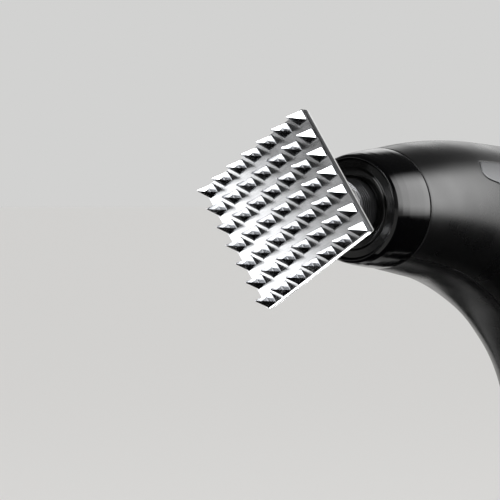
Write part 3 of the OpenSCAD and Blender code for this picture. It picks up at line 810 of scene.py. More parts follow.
    def share_per_mm(self, t: np.ndarray, angle: np.ndarray) -> np.ndarray:
        """Share that one millimetre along the skin takes."""
        ahead, behind = self.skin(t + 1e-3, angle), self.skin(t - 1e-3, angle)
        return 2e-3 / np.linalg.norm(ahead - behind, axis=-1)

    def degrees_per_mm(self, t: np.ndarray, angle: np.ndarray) -> np.ndarray:
        """Degrees that one millimetre round the section takes."""
        ahead, behind = self.skin(t, angle + 0.1), self.skin(t, angle - 0.1)
        return 0.2 / np.linalg.norm(ahead - behind, axis=-1)

    def border(self, line: Line, t: np.ndarray, offset: float = 0.0) -> np.ndarray:
        """Finds the angle of a guide line.

        Args:
            line: The line.
            t: Shares.
            offset: Millimetres from the line towards the crest, and for keel and crest from the
                middle plane.

        Returns:
            Angles in degrees.
        """
        if line in (Line.KEEL, Line.CREST):
            s = self.row(t)
            rise = np.degrees(np.arcsin((offset / s[..., 4]) ** (s[..., 5] / 2)))
            return rise if line is Line.KEEL else 180 - rise
        if line in (Line.GRIP, Line.FAR_GRIP):
            angle = self.grip_edge(t) if line is Line.GRIP else -self.grip_edge(t)
        else:
            angle = np.full_like(t, self.strip_low if line is Line.LOW else self.strip_high)
        return angle + offset * self.degrees_per_mm(t, angle)

    def angles(self, columns: Sequence[Column], t: np.ndarray) -> np.ndarray:
        """Finds the angles of a net.

        Args:
            columns: Its columns.
            t: Share of each point, by rows and columns.

        Returns:
            Angle of each point in degrees.
        """
        found = np.zeros_like(t)
        for j, column in enumerate(columns):
            first = last = self.border(column.line, t[:, j], column.offset)
            if column.next_line:
                last = self.border(column.next_line, t[:, j], column.next_offset)
            found[:, j] = first + (last - first) * column.share
        return found

    def wall_of(self, name: str, net: Net, deep: float, side: Side, sharp: float) -> Piece:
        """Makes a wall of the body from a net on its right flank.

        Args:
            name: Name of the piece.
            net: Share, angle and distance out of each point, by rows and columns.
            deep: Depth of its inner face in the skin, in millimetres.
            side: Flank that it is for.
            sharp: Angle in degrees above which an edge stays crisp.

        Returns:
            The new object.
        """
        t, angle, out = net
        rows, columns = t.shape
        count = rows * columns
        points = np.concatenate([self.skin(t, angle, level).reshape(-1, 3) for level in (out, -deep)])
        faces = grid_faces(rows, columns) + grid_faces(rows, columns, count)
        rim = [(i * columns + j, (i + 1) * columns + j) for i in range(rows - 1) for j in (0, columns - 1)]
        rim += [(i * columns + j, i * columns + j + 1) for j in range(columns - 1) for i in (0, rows - 1)]
        faces += [(a, b, b + count, a + count) for a, b in rim]
        return solid(name, placed(points * np.array([1.0, side.value, 1.0])), faces, sharp)

    def panel_frame(self) -> Matrix:
        """Frame of the control panel on the bend, Z out of its face."""
        turn = Matrix.Rotation(math.radians(self.panel_tilt), 4, "Y")
        return Matrix.Translation(self.core(self.panel_share, 1.0)) @ turn

    def port_frame(self) -> Matrix:
        """Frame of the charging port, Z out of the back and X down."""
        place = (self.body_back - self.port_deep, 0, self.port_height - self.grip_drop)
        return Matrix.Translation(place) @ Matrix.Rotation(math.pi / 2, 4, "Y")


LOFT = BodyLoft()


@dataclass
class Casing:
    """Two moulded halves of the body, with recesses for the grip, the strips and the controls.

    lip is how far from its border and how deep each line of a recess's rim lies, seam how far from
    the middle plane and how far out each line of the joint is, nose the same at the front end.
    steps are those across the grip, the flank, the strip and the crown, rows those before, along
    and behind the strip. The tools that cut openings reach well past the wall on both sides.
    """

    pocket: float = 1.15
    sharp: float = 28.0
    lip: Rim = ((-0.5, 0.0), (-0.22, 0.02), (-0.09, 0.07), (0.0, 0.2), (0.06, 1.0))
    seam: Rim = ((0.01, -0.9), (0.03, -0.35), (0.08, -0.13), (0.18, -0.03), (0.36, 0.0))
    nose: Rim = ((0.0, -0.35), (0.06, -0.15), (0.16, -0.04), (0.36, 0.0))
    steps: tuple[int, int, int, int] = (14, 24, 9, 15)
    rows: tuple[int, int, int] = (22, 40, 90)
    vents: int = 6
    vent: Triple = (1.6, 6.4, 0.75)
    vent_start: float = 0.4
    vent_step: float = 0.016
    vent_angle: float = 121.0
    vent_tilt: float = 24.0
    posts: Rim = ((0.115, -0.66), (0.2, 0.73), (0.4, 0.86), (0.42, -0.74), (0.67, 0.72))
    post_radius: float = 3.4
    well_radius: float = 2.4
    well_wall: float = 3.3
    well_depth: float = 4.0
    screw_hole: float = 1.65
    panel: Pair = (15.0, 9.0)
    port: Triple = (8.8, 16.4, 0.4)

    def columns(self) -> list[Column]:
        """Lays out the columns of the net, from the keel over the flank to the crest.

        Returns:
            The columns.
        """
        seam, lip, clear = self.seam[-1][0], self.lip, -self.lip[0][0]
        grip, flank, strip, crown = ([k / count for k in range(1, count)] for count in self.steps)
        net = [Column(Line.KEEL, offset, grip=1.0, out=out) for offset, out in self.seam]
        net += [Column(Line.KEEL, seam, Line.GRIP, -0.1, k, grip=1.0) for k in grip]
        net += [Column(Line.GRIP, -offset, grip=sunk) for offset, sunk in reversed(lip)]
        net += [Column(Line.GRIP, clear, Line.LOW, -clear, k) for k in flank]
        net += [Column(Line.LOW, offset, strip=sunk) for offset, sunk in lip]
        net += [Column(Line.LOW, 0.0, Line.HIGH, 0.0, k, k, strip=1.0) for k in strip]
        net += [Column(Line.HIGH, -offset, strip_height=1.0, strip=sunk) for offset, sunk in reversed(lip)]
        net += [Column(Line.HIGH, clear, Line.CREST, seam, k, 1.0) for k in crown]
        seam_lines = reversed(self.seam)
        return net + [Column(Line.CREST, offset, strip_height=1.0, out=out) for offset, out in seam_lines]

    def rim(self, edge: np.ndarray, angle: np.ndarray, way: int) -> list[tuple[np.ndarray, float]]:
        """Lines over the rim of a recess and how deep each is, into it by way 1, out of it by -1."""
        step = LOFT.share_per_mm(edge, angle)
        return [(edge + way * offset * step, sunk) for offset, sunk in self.lip[::way]]

    def net(self) -> Net:
        """Lays out the net of the skin along the borders of every recess.

        Returns:
            Share, angle and distance out of each point, by rows and columns.
        """
        columns = self.columns()
        q = np.array([column.strip_height for column in columns])
        about = LOFT.strip_low + (LOFT.strip_high - LOFT.strip_low) * q
        (front, rear), stop = LOFT.strip_ends(q), np.full_like(q, LOFT.grip_stop)
        step = LOFT.share_per_mm(np.full_like(q, 0.01), about)
        before, along, behind = self.rows
        rows = [(offset * step, 1.0, 0.0, out) for offset, out in self.nose]
        rows += [(t, 1.0, 0.0, 0.0) for t in run(rows[-1][0], front, before)]
        rows += [(t, 1.0, sunk, 0.0) for t, sunk in self.rim(front, about, 1)]
        rows += [(t, 1.0, 1.0, 0.0) for t in run(front, rear, along)]
        rows += [(t, 1.0, sunk, 0.0) for t, sunk in self.rim(rear, about, -1)]
        rows += [(t, 1.0, 0.0, 0.0) for t in run(rear, stop, behind)]
        rows += [(t, sunk, 0.0, 0.0) for t, sunk in self.rim(stop, about, -1)]
        rows += [(np.full_like(q, 1.0), 0.0, 0.0, 0.0)]
        t = np.clip(np.array([row[0] for row in rows]), 0.0, 1.0)
        grip, strip, out = np.array([row[1:] for row in rows]).T[:, :, None]
        column_grip, column_strip, column_out = np.array([(c.grip, c.strip, c.out) for c in columns]).T
        sunk = np.maximum(np.minimum(grip, column_grip), np.minimum(strip, column_strip))
        return t, LOFT.angles(columns, t), np.minimum(out, column_out) - self.pocket * sunk

    def vent_tools(self, side: Side) -> list[Piece]:
        """Makes the blocks that cut the air slots of one flank.

        Args:
            side: The flank.

        Returns:
            The blocks.
        """
        tools, outline = [], rectangle(*self.vent)
        for i in range(self.vents):
            x, _y, z = LOFT.skin(np.array(self.vent_start + self.vent_step * i), np.array(self.vent_angle))
            place = Matrix.Translation((x, 0, z)) @ Matrix.Rotation(math.radians(self.vent_tilt), 4, "Y")
            place = place @ Matrix.Rotation(-math.pi / 2, 4, "X")
            tools.append(stacked("vent_tool", [(outline, 5.0), (outline, 34.0)], place))
            if side is Side.LEFT:
                tools[-1].data.transform(Matrix.Scale(-1, 4, (0, 1, 0)))
                tools[-1].data.flip_normals()
        return tools

    def screw_well(self, share: float, height: float) -> tuple[Piece, Piece]:
        """Makes the hole over one screw of the right flank and the wall round it.

        Args:
            share: Share at which the post stands.
            height: Height of its foot, as in BodyLoft.core.

        Returns:
            Tool that cuts the hole, and the wall.
        """
        end = LOFT.post_end(share, height, self.post_radius)
        place = Matrix.Translation(LOFT.core(share, height)) @ Matrix.Rotation(-math.pi / 2, 4, "X")
        hole = circle(self.well_radius)
        tool = stacked("screw_tool", [(hole, end - self.well_depth - 1), (hole, 40.0)], place)
        seat, inner, outer = end - self.well_depth, self.well_radius, self.well_wall
        wall = [(seat - 1, outer, 0), (end, outer, 0), (end, inner, 0), (seat, inner, 0)]
        wall += [(seat, self.screw_hole, 0), (seat - 1, self.screw_hole, 0)]
        return tool, turned("well", wall, 48, place)

    def build(self) -> None:
        """Builds both halves, cuts their openings and dresses them."""
        net, panel, port = self.net(), stadium(*self.panel), rectangle(*self.port)
        for side in Side:
            name = side.name.lower()
            piece = LOFT.wall_of(f"{name}_shell", net, LOFT.wall, side, self.sharp)
            tools = [
                stacked("panel_tool", [(panel, -16.0), (panel, 14.0)], LOFT.panel_frame()),
                stacked("port_tool", [(port, -6.0), (port, 6.0)], LOFT.port_frame()),
            ]
            tools += self.vent_tools(side)
            wells = [self.screw_well(*post) for post in self.posts] if side is Side.RIGHT else []
            cut(piece, tools + [tool for tool, _wall in wells], self.sharp)
            joined(piece, [wall for _tool, wall in wells])
            shade(piece.data, self.sharp)
            finished(piece, SATIN_ABS, "housing", "satin_shell", f"{name}_casing")


@dataclass
class Inlay:
    """Moulding that lies in a recess of the skin, with a rounded rim."""

    gap: float = 0.09
    deep: float = 1.1
    sharp: float = 40.0
    low: Line = Line.LOW
    high: Line = Line.HIGH
    rows: int = 60
    columns: int = 14

    def ends(self, q: np.ndarray) -> tuple[np.ndarray, np.ndarray]:
        """Shares at which it starts and ends, by the height 0 to 1 across it."""
        return LOFT.strip_ends(q)

    def net(self, rim: Rim) -> Net:
        """Lays out the net of its face.

        Args:
            rim: Distance in from the recess's border, and distance out of the skin, of each line.

        Returns:
            Share, angle and distance out of each point, by rows and columns.
        """
        (inner, crown), back = rim[-1], rim[::-1]
        shares = [k / self.columns for k in range(1, self.columns)]
        columns = [Column(self.low, inset, out=out) for inset, out in rim]
        columns += [Column(self.low, inner, self.high, -inner, k, k, out=crown) for k in shares]
        columns += [Column(self.high, -inset, strip_height=1.0, out=out) for inset, out in back]
        q = np.array([column.strip_height for column in columns])
        fore = np.full_like(q, 0.3)
        about = LOFT.border(self.low, fore) * (1 - q) + LOFT.border(self.high, fore) * q
        first, last = self.ends(q)
        start = [first + inset * LOFT.share_per_mm(first, about) for inset, _out in rim]
        stop = [last - inset * LOFT.share_per_mm(last, about) for inset, _out in back]
        t = np.array(start + run(start[-1], stop[0], self.rows) + stop)
        row_out = np.array([out for _, out in rim] + [crown] * (self.rows - 1) + [out for _, out in back])
        return t, LOFT.angles(columns, t), np.minimum(row_out[:, None], [column.out for column in columns])


@dataclass
class SilverStrips(Inlay):
    """Painted trim strips on both flanks, with the air slots cut through them."""

    crown: float = 0.12

    def build(self, casing: Casing) -> None:
        """Builds a strip for each flank.

        Args:
            casing: Casing whose air slots go on through the strips.
        """
        gap = self.gap
        rim = ((gap, -1.0), (gap, -0.16), (gap + 0.05, -0.02), (gap + 0.16, 0.07), (gap + 0.4, self.crown))
        for side in Side:
            name = side.name.lower()
            piece = LOFT.wall_of(f"{name}_silver_strip", self.net(rim), self.deep, side, self.sharp)
            cut(piece, casing.vent_tools(side), self.sharp)
            finished(piece, SILVER_PAINT, "housing", "silver_trim", f"{name}_strip")


@dataclass
class SoftGrip(Inlay):
    """Moulded soft pad that wraps the front of the handle and the belly of the barrel."""

    low: Line = Line.FAR_GRIP
    high: Line = Line.GRIP
    rows: int = 120
    columns: int = 36
    proud: float = 0.35
    front_fade: float = 0.1

    def ends(self, q: np.ndarray) -> tuple[np.ndarray, np.ndarray]:
        """Shares at which it starts and ends."""
        return np.full_like(q, LOFT.grip_start), np.full_like(q, LOFT.grip_stop - 0.001)

    def build(self) -> None:
        """Builds the pad, flush at the nose and proud on the handle, and dresses it."""
        gap, proud = self.gap, self.proud
        rim = ((gap, -1.0), (gap, -0.2), (gap + 0.06, 0.02), (gap + 0.2, proud * 0.62), (gap + 0.6, proud))
        t, angle, out = self.net(rim)
        out = np.where(out > 0, out * (self.front_fade + (1 - self.front_fade) * ease(t, 0.0, 0.35)), out)
        piece = LOFT.wall_of("soft_grip", (t, angle, out), self.deep, Side.RIGHT, self.sharp)
        finished(piece, GRIP_TPE, "housing", "soft_rubber", "grip_pad")


@dataclass
class GripFoot:
    """Cap and soft foot that close the lower end of the handle.

    Each rim is the distance in from the grip's outline and the height of each layer.
    """

    flange: float = 3.0
    pad: float = 2.0
    cap_low: Rim = ((1.1, 0.0), (0.7, 0.12), (0.42, 0.5), (0.3, 1.0))
    cap_high: Rim = ((0.3, -0.35), (0.42, -0.12), (0.75, 0.0))
    tread: Rim = ((2.9, 0.0), (2.3, 0.12), (2.05, 0.5), (2.0, 0.9), (2.0, 2.0))

    def outline(self, margin: float) -> np.ndarray:
        """Outline of the grip at its lower end, smaller by a margin."""
        angles = np.linspace(0, 360, 96, endpoint=False)
        return LOFT.skin(np.full_like(angles, 1.0), angles, -margin)[:, :2]

    def build(self) -> None:
        """Builds the cap with its rounded rim and the foot below it."""
        top = -LOFT.grip_drop
        low = top - self.flange
        rim = [(inset, low + up) for inset, up in self.cap_low]
        rim += [(inset, top + up) for inset, up in self.cap_high]
        cap = stacked("grip_cap", [(self.outline(inset), z) for inset, z in rim], Matrix.Identity(4))
        finished(cap, SATIN_ABS, "housing", "satin_shell", "bottom_cap")
        layers = [(self.outline(inset), low - self.pad + up) for inset, up in self.tread]
        foot = stacked("grip_foot", layers, Matrix.Identity(4))
        finished(foot, SILICONE, "housing", "soft_rubber", "foot_pad")


@dataclass
class Head:
    """Square plate with pyramid teeth on a turned hub, whose shank plugs into the socket.

    rim is the distance in from the plate's side and the height of each layer; stem holds corners
    of the hub and shank: height along the drive axis, radius and corner radius.
    """

    pitch: float = 8.0
    count: int = 7
    height: float = 9.0
    root: float = 4.08
    tip: float = 0.35
    width: float = 52.88
    corner: float = 0.7
    thick: float = 4.0
    reach: float = 43.2
    rim: Rim = ((0.0, 0.0), (0.0, 2.6), (0.33, 3.9), (0.43, 4.0))
    stem: Corners = (
        (-41.2, 0, 0), (-41.2, 5, 0), (-39.2, 5, 0), (-39.2, 13, 0.4), (-37.6, 13, 0.4), (-36.0, 11.45, 1.2),
        (-10.1, 11.45, 0.3), (-9.1, 10.1, 0.3), (-9.1, 6, 0.3), (-3, 6, 0.2), (-3, 4.3, 0.1),
        (-1.1, 4.3, 0.1), (-1.1, 6, 0.2), (4.2, 6, 0.3), (5.0, 5.2, 0.3), (5.0, 0, 0),
    )

    def tooth_rings(self, y: float, z: float) -> list[np.ndarray]:
        """Lays out one tooth, with a small fillet at its root and chamfered ridges.

        Args:
            y: Place of its middle across the plate.
            z: Place of its middle up the plate.

        Returns:
            Rings of eight corners, from the root to the tip.
        """
        root, tip, tall = self.root / 2, self.tip / 2, self.height
        slope = (root - tip) / tall
        # how far up the tooth, half its width there and the chamfer of its ridges
        levels = [(-0.2, root + 0.3, 0.12), (0.0, root + 0.2, 0.12), (0.08, root + 0.06, 0.12)]
        levels += [(0.25, root - 0.25 * slope, 0.12), (tall - 0.4, tip + 0.4 * slope, 0.07)]
        levels += [(tall - 0.05, tip, 0.06), (tall, tip - 0.07, 0.04)]
        rings = []
        for up, h, c in levels:
            quarter = ((h, c - h), (h, h - c), (h - c, h), (c - h, h))
            ring = quarter + tuple((-a, -b) for a, b in quarter)
            rings.append(np.array([(-self.reach - up, y + a, z + b) for a, b in ring]))
        return rings

    def teeth(self, spin: Matrix) -> Piece:
        """Builds the field of teeth.

        Args:
            spin: Turn of the plate about the drive axis.

        Returns:
            The piece.
        """
        rings, faces = [], []
        rows = [(i - (self.count - 1) / 2) * self.pitch for i in range(self.count)]
        for y in rows:
            for z in rows:
                start = len(rings) * 8
                tooth = self.tooth_rings(y, z)
                rings += tooth
                faces += grid_faces(len(tooth), 8, start, closed=True)
                faces.append(tuple(range(len(rings) * 8 - 8, len(rings) * 8)))
        piece = solid("tenderizing_teeth", placed(np.concatenate(rings), spin), faces, 15.0)
        return finished(piece, STEEL_TEETH, "head", "polished_steel", "tooth_plate")

    def plate(self, spin: Matrix) -> Piece:
        """Builds the plate, with painted shade on its milled sides and a painted highlight on its chamfer.

        Args:
            spin: Turn of the plate about the drive axis.

        Returns:
            The piece.
        """
        wide = self.width
        layers = [(rectangle(wide - 2 * m, wide - 2 * m, self.corner), up - self.reach) for m, up in self.rim]
        piece = stacked("tooth_plate_body", layers, spin @ DRIVE_AXIS, 30.0)
        finished(piece, STEEL_PLATE, "head", "polished_steel", "tooth_plate")
        # the sides take a darker steel as painted shade, and the chamfer a lighter steel as a painted
        # highlight
        for finish in (STEEL_SIDE_PAINTED_SHADE, STEEL_CHAMFER_PAINTED_HIGHLIGHT):
            piece.data.materials.append(finish.material())
        for face in piece.data.polygons:
            facing = face.normal.x
            face.material_index = 1 if abs(facing) < 0.12 else 2 * (0 < facing < 0.9)
        return piece

    def build(self) -> None:
        """Builds teeth, plate and stem, and lets the cards of the studio find them."""
        spin = Matrix.Rotation(math.radians(-PLATE_TURN), 4, "X")
        teeth, plate = self.teeth(spin), self.plate(spin)
        stem = finished(turned("hub_and_shank", self.stem), STEEL_HUB, "head", "polished_steel", "head_stem")
        for piece in (plate, teeth, stem):
            Lit.HEAD.pieces().objects.link(piece)
        Lit.HUB.pieces().objects.link(stem)


@dataclass
class Nose:
    """Ribbed socket, soft front ring and polished collar at the front of the body.

    ring and collar hold corners: height along the drive axis, radius and corner radius.
    """

    bore: float = 6.05
    socket: float = 11.7
    socket_front: float = -9.0
    socket_back: float = 13.4
    rod_hole: float = 5.0
    rod_stop: float = 5.4
    ribs: int = 4
    rib_pitch: float = 1.4
    rib_depth: float = 0.55
    ring: Corners = (
        (0.0, 12.4, 0.5), (0.0, 15.8, 0.55), (1.2, 15.8, 0.35), (1.2, 18.7, 0.4), (1.7, 19.17, 0.15),
        (3.4, 19.17, 0.2), (3.4, 12.4, 0.2),
    )
    collar: Corners = (
        (0.25, 19.23, 0.22), (0.25, 20.0, 0.22), (1.6, 20.75, 0.8), (4, 21.35, 3), (8, 22, 4),
        (12.55, 22.55, 4), (17, 23.05, 3), (20.4, 23.35, 0.3), (20.95, 23.0, 0.25), (20.95, 20.75, 0),
        (25.2, 20.75, 0), (25.2, 19.5, 0), (16, 19.5, 0), (16, 13.2, 0), (12, 13.2, 0), (12, 19.2, 0),
        (5.4, 19.2, 0), (5.4, 12.6, 0.2), (3.4, 12.6, 0.2), (3.4, 19.23, 0),
    )

    def build(self) -> None:
        """Builds the three rings round the drive axis."""
        wide, front, back = self.socket, self.socket_front, self.socket_back
        outline = [(front, self.bore, 0.3), (front, wide, 0.3)]
        for k in range(self.ribs):
            rib = front + self.rib_pitch * (k + 0.5)
            outline += [(rib, wide, 0.15), (rib + 0.1, wide - self.rib_depth, 0.12)]
            outline += [(rib + 0.6, wide - self.rib_depth, 0.12), (rib + 0.7, wide, 0.15)]
        outline += [(back, wide, 0.3), (back, self.rod_hole, 0.2), (self.rod_stop, self.rod_hole, 0.0)]
        socket = turned("ribbed_socket", outline + [(self.rod_stop, self.bore, 0.2)])
        finished(socket, BLACK_ANODISED, "plunger", "black_anodised", "socket_collar")
        finished(turned("front_ring_pad", self.ring), RING_RUBBER, "housing", "soft_rubber", "front_ring")
        finished(turned("gloss_collar", self.collar, 200), GLOSS_ABS, "housing", "gloss_shell", "nose_collar")


@dataclass
class Controls:
    """Panel on the back of the bend with its two buttons and three small lights.

    panel_rim is the distance in and the height of each layer of the panel, flare the distance out
    and the height of each layer of a hole.
    """

    half_run: float = 15.0
    half: float = 9.0
    power: Pair = (-7.5, 5.0)
    speed: Pair = (5.5, 3.6)
    gap: float = 0.1
    light_place: float = 12.0
    light_pitch: float = 3.4
    light_hole: float = 0.95
    panel_rim: Rim = ((0.1, -5.2), (0.1, -2.55), (0.16, -2.36), (0.3, -2.24), (0.5, -2.2))
    flare: Rim = ((0.0, -8.0), (0.0, -2.4), (0.08, -2.27), (0.25, -2.19), (0.25, 0.0))

    def build(self) -> None:
        """Builds the panel and both buttons."""
        frame_of = LOFT.panel_frame()
        layers = [(stadium(self.half_run - m, self.half - m), z) for m, z in self.panel_rim]
        panel = stacked("gloss_panel", layers, frame_of)
        holes = [(at, 0.0, radius + self.gap) for at, radius in (self.power, self.speed)]
        holes += [(self.light_place, self.light_pitch * j, self.light_hole) for j in (-1, 0, 1)]
        tools = []
        for x, y, radius in holes:
            layers = [(circle(radius + wider, 48), z) for wider, z in self.flare]
            tools.append(stacked("hole_tool", layers, frame_of @ Matrix.Translation((x, y, 0))))
        cut(panel, tools)
        finished(panel, GLOSS_ABS, "housing", "gloss_shell", "control_panel")
        self.button("power", self.power, SILICONE, "soft_rubber")
        self.button("speed", self.speed, SILVER_PAINT, "silver_trim")

    def button(self, body: str, size: Pair, finish: Finish, slot: str) -> None:
        """Builds one dished button with its retaining flange.

        Args:
            body: Body that carries it, whose name the piece and its node share.
            size: Place along the panel and radius of the cap.
            finish: What it is made of.
            slot: Material slot of the record.
        """
        at, radius = size
        outline = [(-6.6, 0, 0), (-6.6, radius + 0.8, 0.2), (-5.3, radius + 0.8, 0.2), (-5.3, radius, 0.1)]
        outline += [(1.0, radius, 0.5), (1.0, radius - 0.9, 0.6), (0.72, radius * 0.45, 1.5), (0.66, 0, 0)]
        key = turned(f"{body}_key", outline, 64, LOFT.panel_frame() @ Matrix.Translation((at, 0, 0)))
        finished(key, finish, body, slot, f"{body}_button")


@dataclass
class PortCover:
    """Soft hinged cover over the charging port, moulded in one piece with its barrel and tab.

    Each rim is the distance in and the height of each layer; barrel holds the corners of one half
    of the hinge, whose other half mirrors it: height along the hinge, radius and corner radius.
    """

    slab: Triple = (7.8, 16.0, 1.3)
    slab_rise: float = 0.5
    slab_rim: Rim = ((0.25, 0.1), (0.0, 0.35), (0.0, 1.3), (0.08, 1.55), (0.25, 1.72), (0.6, 1.8))
    hinge: Triple = (-3.4, 0.0, 1.1)
    barrel: Corners = ((-9, 0, 0), (-9, 0.6, 0.1), (-8, 0.6, 0), (-8, 0.9, 0.15))
    tab: Triple = (1.0, 5.0, 0.3)
    tab_place: float = 3.9
    tab_rim: Rim = ((0.0, 1.5), (0.0, 2.2), (0.1, 2.4), (0.3, 2.5))

    def slab_of(self, name: str, size: Triple, rim: Rim, place: Triple) -> Piece:
        """Builds a flat slab with a rounded rim.

        Args:
            name: Name of the piece.
            size: Height, width and corner radius.
            rim: Its rim.
            place: Place in the frame of the port.

        Returns:
            The piece.
        """
        high, wide, corner = size
        layers = [(rectangle(high - 2 * m, wide - 2 * m, corner), z) for m, z in rim]
        return stacked(name, layers, LOFT.port_frame() @ Matrix.Translation(place))

    def build(self) -> None:
        """Builds slab, barrel and tab and joins them."""
        flap = self.slab_of("port_flap", self.slab, self.slab_rim, (self.slab_rise, 0, 0))
        axis = LOFT.port_frame() @ Matrix.Translation(self.hinge) @ Matrix.Rotation(math.pi / 2, 4, "X")
        barrel = list(self.barrel) + [(-along, radius, round_) for along, radius, round_ in self.barrel[::-1]]
        tab = self.slab_of("tab", self.tab, self.tab_rim, (self.tab_place, 0, 0))
        joined(flap, [turned("barrel", barrel, 32, axis), tab])
        shade(flap.data, 32.0)
        finished(flap, SILICONE, "cover", "soft_rubber", "port_cover")


@dataclass
class Softbox:
    """Rectangular studio light with soft borders that faces the tool, all in metres.

    A card lights nothing matt: it only shows in reflections, on the pieces that it is linked to.
    """

    name: str
    centre: Triple
    target: Triple
    size: Pair
    radiance: float
    roll: float = 0.0
    border: float = 0.15
    lit: Lit = Lit.ALL
    card: bool = True

    def build(self) -> None:
        """Adds the lamp, whose power follows from its area and radiance."""
        lamp = bpy.data.lights.new(self.name, "AREA")
        lamp.shape = "RECTANGLE"
        lamp.size, lamp.size_y = self.size
        lamp.energy = self.radiance * math.pi * self.size[0] * self.size[1]
        self.soften(lamp)
        holder = bpy.data.objects.new(self.name, lamp)
        holder.location = self.centre
        aim = Vector(self.target) - Vector(self.centre)
        facing = aim.to_track_quat("-Z", "Y").to_matrix() @ Matrix.Rotation(math.radians(self.roll), 3, "Z")
        holder.rotation_euler = facing.to_euler()
        holder.visible_camera = False
        holder.visible_diffuse = not self.card
        holder.visible_glossy = self.card
        bpy.context.scene.collection.objects.link(holder)
        if self.lit is not Lit.ALL:
            holder.light_linking.receiver_collection = self.lit.pieces()

    def soften(self, lamp: bpy.types.Light) -> None:
        """Lets the light fall off towards its four borders.

        Args:
            lamp: The lamp.
        """
        lamp.use_nodes = True
        tree = lamp.node_tree
        tree.nodes.clear()
        place = add(tree, "SeparateXYZ", {"Vector": add(tree, "NewGeometry").outputs["Parametric"]})
        shares = []
        for axis in ("X", "Y"):
            inward = add(tree, "Math", {0: place.outputs[axis]}, {1: 0.5}, operation="PINGPONG")
            span = {"From Min": 0.0, "From Max": self.border}
            share = add(tree, "MapRange", {"Value": inward.outputs[0]}, span, interpolation_type="SMOOTHSTEP")
            shares.append(share.outputs[0])
        level = add(tree, "Math", {0: shares[0], 1: shares[1]}, operation="MULTIPLY")
        glow = add(tree, "Emission", {"Strength": level.outputs[0]})
        add(tree, "OutputLight", {"Surface": glow.outputs[0]})


@dataclass
class Board:
    """Flat board over the floor that only reflections see, as photographers use for black plastic."""

    name: str
    low: Pair
    high: Pair
    tone: str = "#020202"
    level: float = 0.004

    def build(self) -> None:
        """Lays the board just over the floor."""
        (x0, y0), (x1, y1) = self.low, self.high
        points = np.array([(x, y, self.level) for x, y in ((x0, y0), (x1, y0), (x1, y1), (x0, y1))])
        board = solid(self.name, points, [(0, 1, 2, 3)])
        board.data.materials.append(Finish("felt_board_" + self.tone[1:], self.tone, 0.9, ior=1.2).material())
        board.visible_camera = board.visible_diffuse = board.visible_shadow = False


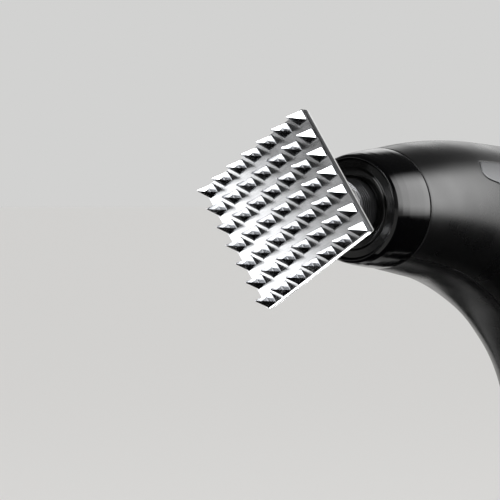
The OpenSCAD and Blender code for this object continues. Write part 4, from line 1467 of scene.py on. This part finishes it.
@dataclass
class Studio:
    """Pale floor and surroundings, one soft lamp, cards and boards for reflections, and the camera.

    fill is how strongly the surroundings light matt surfaces, dim how bright mirrors see them
    apart from the low part behind the tool, which is as pale there as for the camera.
    """

    floor: str = "#e8e7e6"
    floor_radius: float = 25.0
    surround: str = "#d2d2d1"
    fill: float = 1.24
    dim: float = 0.06
    eye: Triple = (-0.90335, -0.48009, 0.16941)
    gaze: Triple = (0.81240744, 0.58254562, -0.02519426)
    sensor: float = 36.0
    lens: float = 166.06
    lamps: tuple[Softbox, ...] = (
        Softbox("right_card", (0.231, -0.407, 0.352), (-0.13, -0.02, 0.17), (0.54, 0.68), 4.6, -20.0, 0.3),
        Softbox("key_card", (-0.05, -0.144, 0.366), (-0.215, 0.0, 0.163), (0.12, 0.12), 6.0, lit=Lit.HEAD),
        Softbox("over_card", (-0.058, -0.082, 0.479), (-0.2, 0.0, 0.17), (0.3, 0.3), 6.0, lit=Lit.HEAD),
        Softbox(
            "left_card", (-0.3625, 0.2725, 0.1205), (-0.212, 0.0, 0.163), (0.3, 0.3), 3.8, 33.4,
            border=0.05, lit=Lit.HEAD,
        ),
        Softbox("front_card", (-0.54, -0.29, 0.57), (-0.22, 0.0, 0.163), (0.42, 0.42), 8.5, 33.4, 0.1),
        Softbox("fill_card", (-0.065, 0.343, 0.32), (-0.2, 0.0, 0.163), (0.3, 0.3), 1.2, lit=Lit.HEAD),
        Softbox(
            "low_card", (-0.048, 0.033, 0.034), (-0.21, -0.015, 0.14), (0.12, 0.08), 20.0, -30.0,
            lit=Lit.HEAD,
        ),
        Softbox("hub_card", (-0.02, -0.04, 0.465), (-0.2, 0.0, 0.165), (0.26, 0.26), 9.0, lit=Lit.HUB),
        Softbox("rim_card", (0.752, 0.397, 0.522), (-0.1, 0.0, 0.18), (0.6, 0.42), 0.8, border=0.3),
        Softbox("top_softbox", (-0.1, -0.1, 0.75), (-0.12, 0.0, 0.16), (0.3, 0.3), 2.5, card=False),
    )
    boards: tuple[Board, ...] = (
        Board("right_flag", (-0.1, -0.75), (0.85, -0.026)),
        Board("rear_flag", (0.027, -0.026), (0.5, 0.17)),
        Board("left_flag", (-0.03, 0.026), (0.027, 0.17), tone="#c8c8c8"),
        Board("under_flag", (-0.25, -0.026), (-0.022, 0.17)),
        Board("front_flag", (-0.55, -0.14), (-0.26, 0.16)),
    )

    def build(self) -> None:
        """Builds the whole studio."""
        self.lay_floor()
        self.surroundings()
        for item in (*self.lamps, *self.boards):
            item.build()
        self.camera()

    def lay_floor(self) -> None:
        """Lays a large disc of matt paper under the tool."""
        ring = circle(self.floor_radius, 96)
        points = np.column_stack([ring, np.zeros(len(ring))])
        floor = solid("floor", points, [tuple(range(len(ring)))])
        floor.data.materials.append(Finish("matte_paper_floor", self.floor, 0.9, ior=1.02).material())

    def surroundings(self) -> None:
        """Gives rays from the camera, mirrors and glass a pale room, and the rest an even fill."""
        world = bpy.data.worlds.new("studio_surroundings")
        bpy.context.scene.world = world
        world.use_nodes = True
        tree = world.node_tree
        tree.nodes.clear()
        rays = add(tree, "LightPath").outputs
        seen = add(tree, "Math", {0: rays["Is Camera Ray"], 1: rays["Is Glossy Ray"]}, operation="MAXIMUM")
        seen = add(tree, "Math", {0: seen.outputs[0], 1: rays["Is Transmission Ray"]}, operation="MAXIMUM")
        way = add(tree, "SeparateXYZ", {"Vector": add(tree, "TexCoord").outputs["Generated"]}).outputs
        low_down = {"From Min": 0.42, "From Max": 0.57, "To Min": 1.0, "To Max": 0.0}
        low = add(tree, "MapRange", {"Value": way["Z"]}, low_down, interpolation_type="SMOOTHSTEP")
        far_back = {"From Min": -0.3, "From Max": 0.3}
        behind = add(tree, "MapRange", {"Value": way["X"]}, far_back, interpolation_type="SMOOTHSTEP")
        backdrop = add(tree, "Math", {0: low.outputs[0], 1: behind.outputs[0]}, operation="MULTIPLY")
        level = add(tree, "Math", {0: backdrop.outputs[0]}, {1: self.dim}, operation="MAXIMUM")
        shown = add(tree, "Math", {0: level.outputs[0], 1: rays["Is Camera Ray"]}, operation="MAXIMUM")
        fill = add(tree, "Background", values={"Color": linear(self.surround), "Strength": self.fill})
        room = add(tree, "Background", {"Strength": shown.outputs[0]}, {"Color": linear(self.surround)})
        mix = add(tree, "MixShader", {"Fac": seen.outputs[0], 1: fill.outputs[0], 2: room.outputs[0]})
        add(tree, "OutputWorld", {"Surface": mix.outputs[0]})

    def camera(self) -> None:
        """Places the camera at the angle of the photograph."""
        lens = bpy.data.cameras.new("photo_camera")
        lens.sensor_fit = "HORIZONTAL"
        lens.sensor_width = self.sensor
        lens.lens = self.lens
        lens.clip_end = 200.0
        holder = bpy.data.objects.new("photo_camera", lens)
        holder.location = self.eye
        holder.rotation_euler = Vector(self.gaze).to_track_quat("-Z", "Y").to_euler()
        bpy.context.scene.collection.objects.link(holder)
        bpy.context.scene.camera = holder


def dress_packed_nodes() -> None:
    """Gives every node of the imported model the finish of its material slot."""
    for part in frame["record"]["subparts"]:
        node = frame["nodes"][part["node"]]
        material = CAD_FINISHES[part["material_slot"]].material()
        if not node.data.materials:
            node.data.materials.append(material)
        for slot in node.material_slots:
            slot.material = material
        log.info("%s: %s from the packed model", node.name, material.name)


def write_sizes() -> None:
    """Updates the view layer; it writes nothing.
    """
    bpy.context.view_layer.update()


def main() -> None:
    """Builds the studio and every sub-assembly in order."""
    logging.basicConfig(level=logging.INFO, format="%(name)s: %(message)s")
    view = bpy.context.scene.view_settings
    view.view_transform = "Standard"
    Studio().build()
    dress_packed_nodes()
    casing = Casing()
    casing.build()
    SilverStrips().build(casing)
    SoftGrip().build()
    GripFoot().build()
    Head().build()
    Nose().build()
    Controls().build()
    PortCover().build()
    write_sizes()


if __name__ == "__main__":
    main()
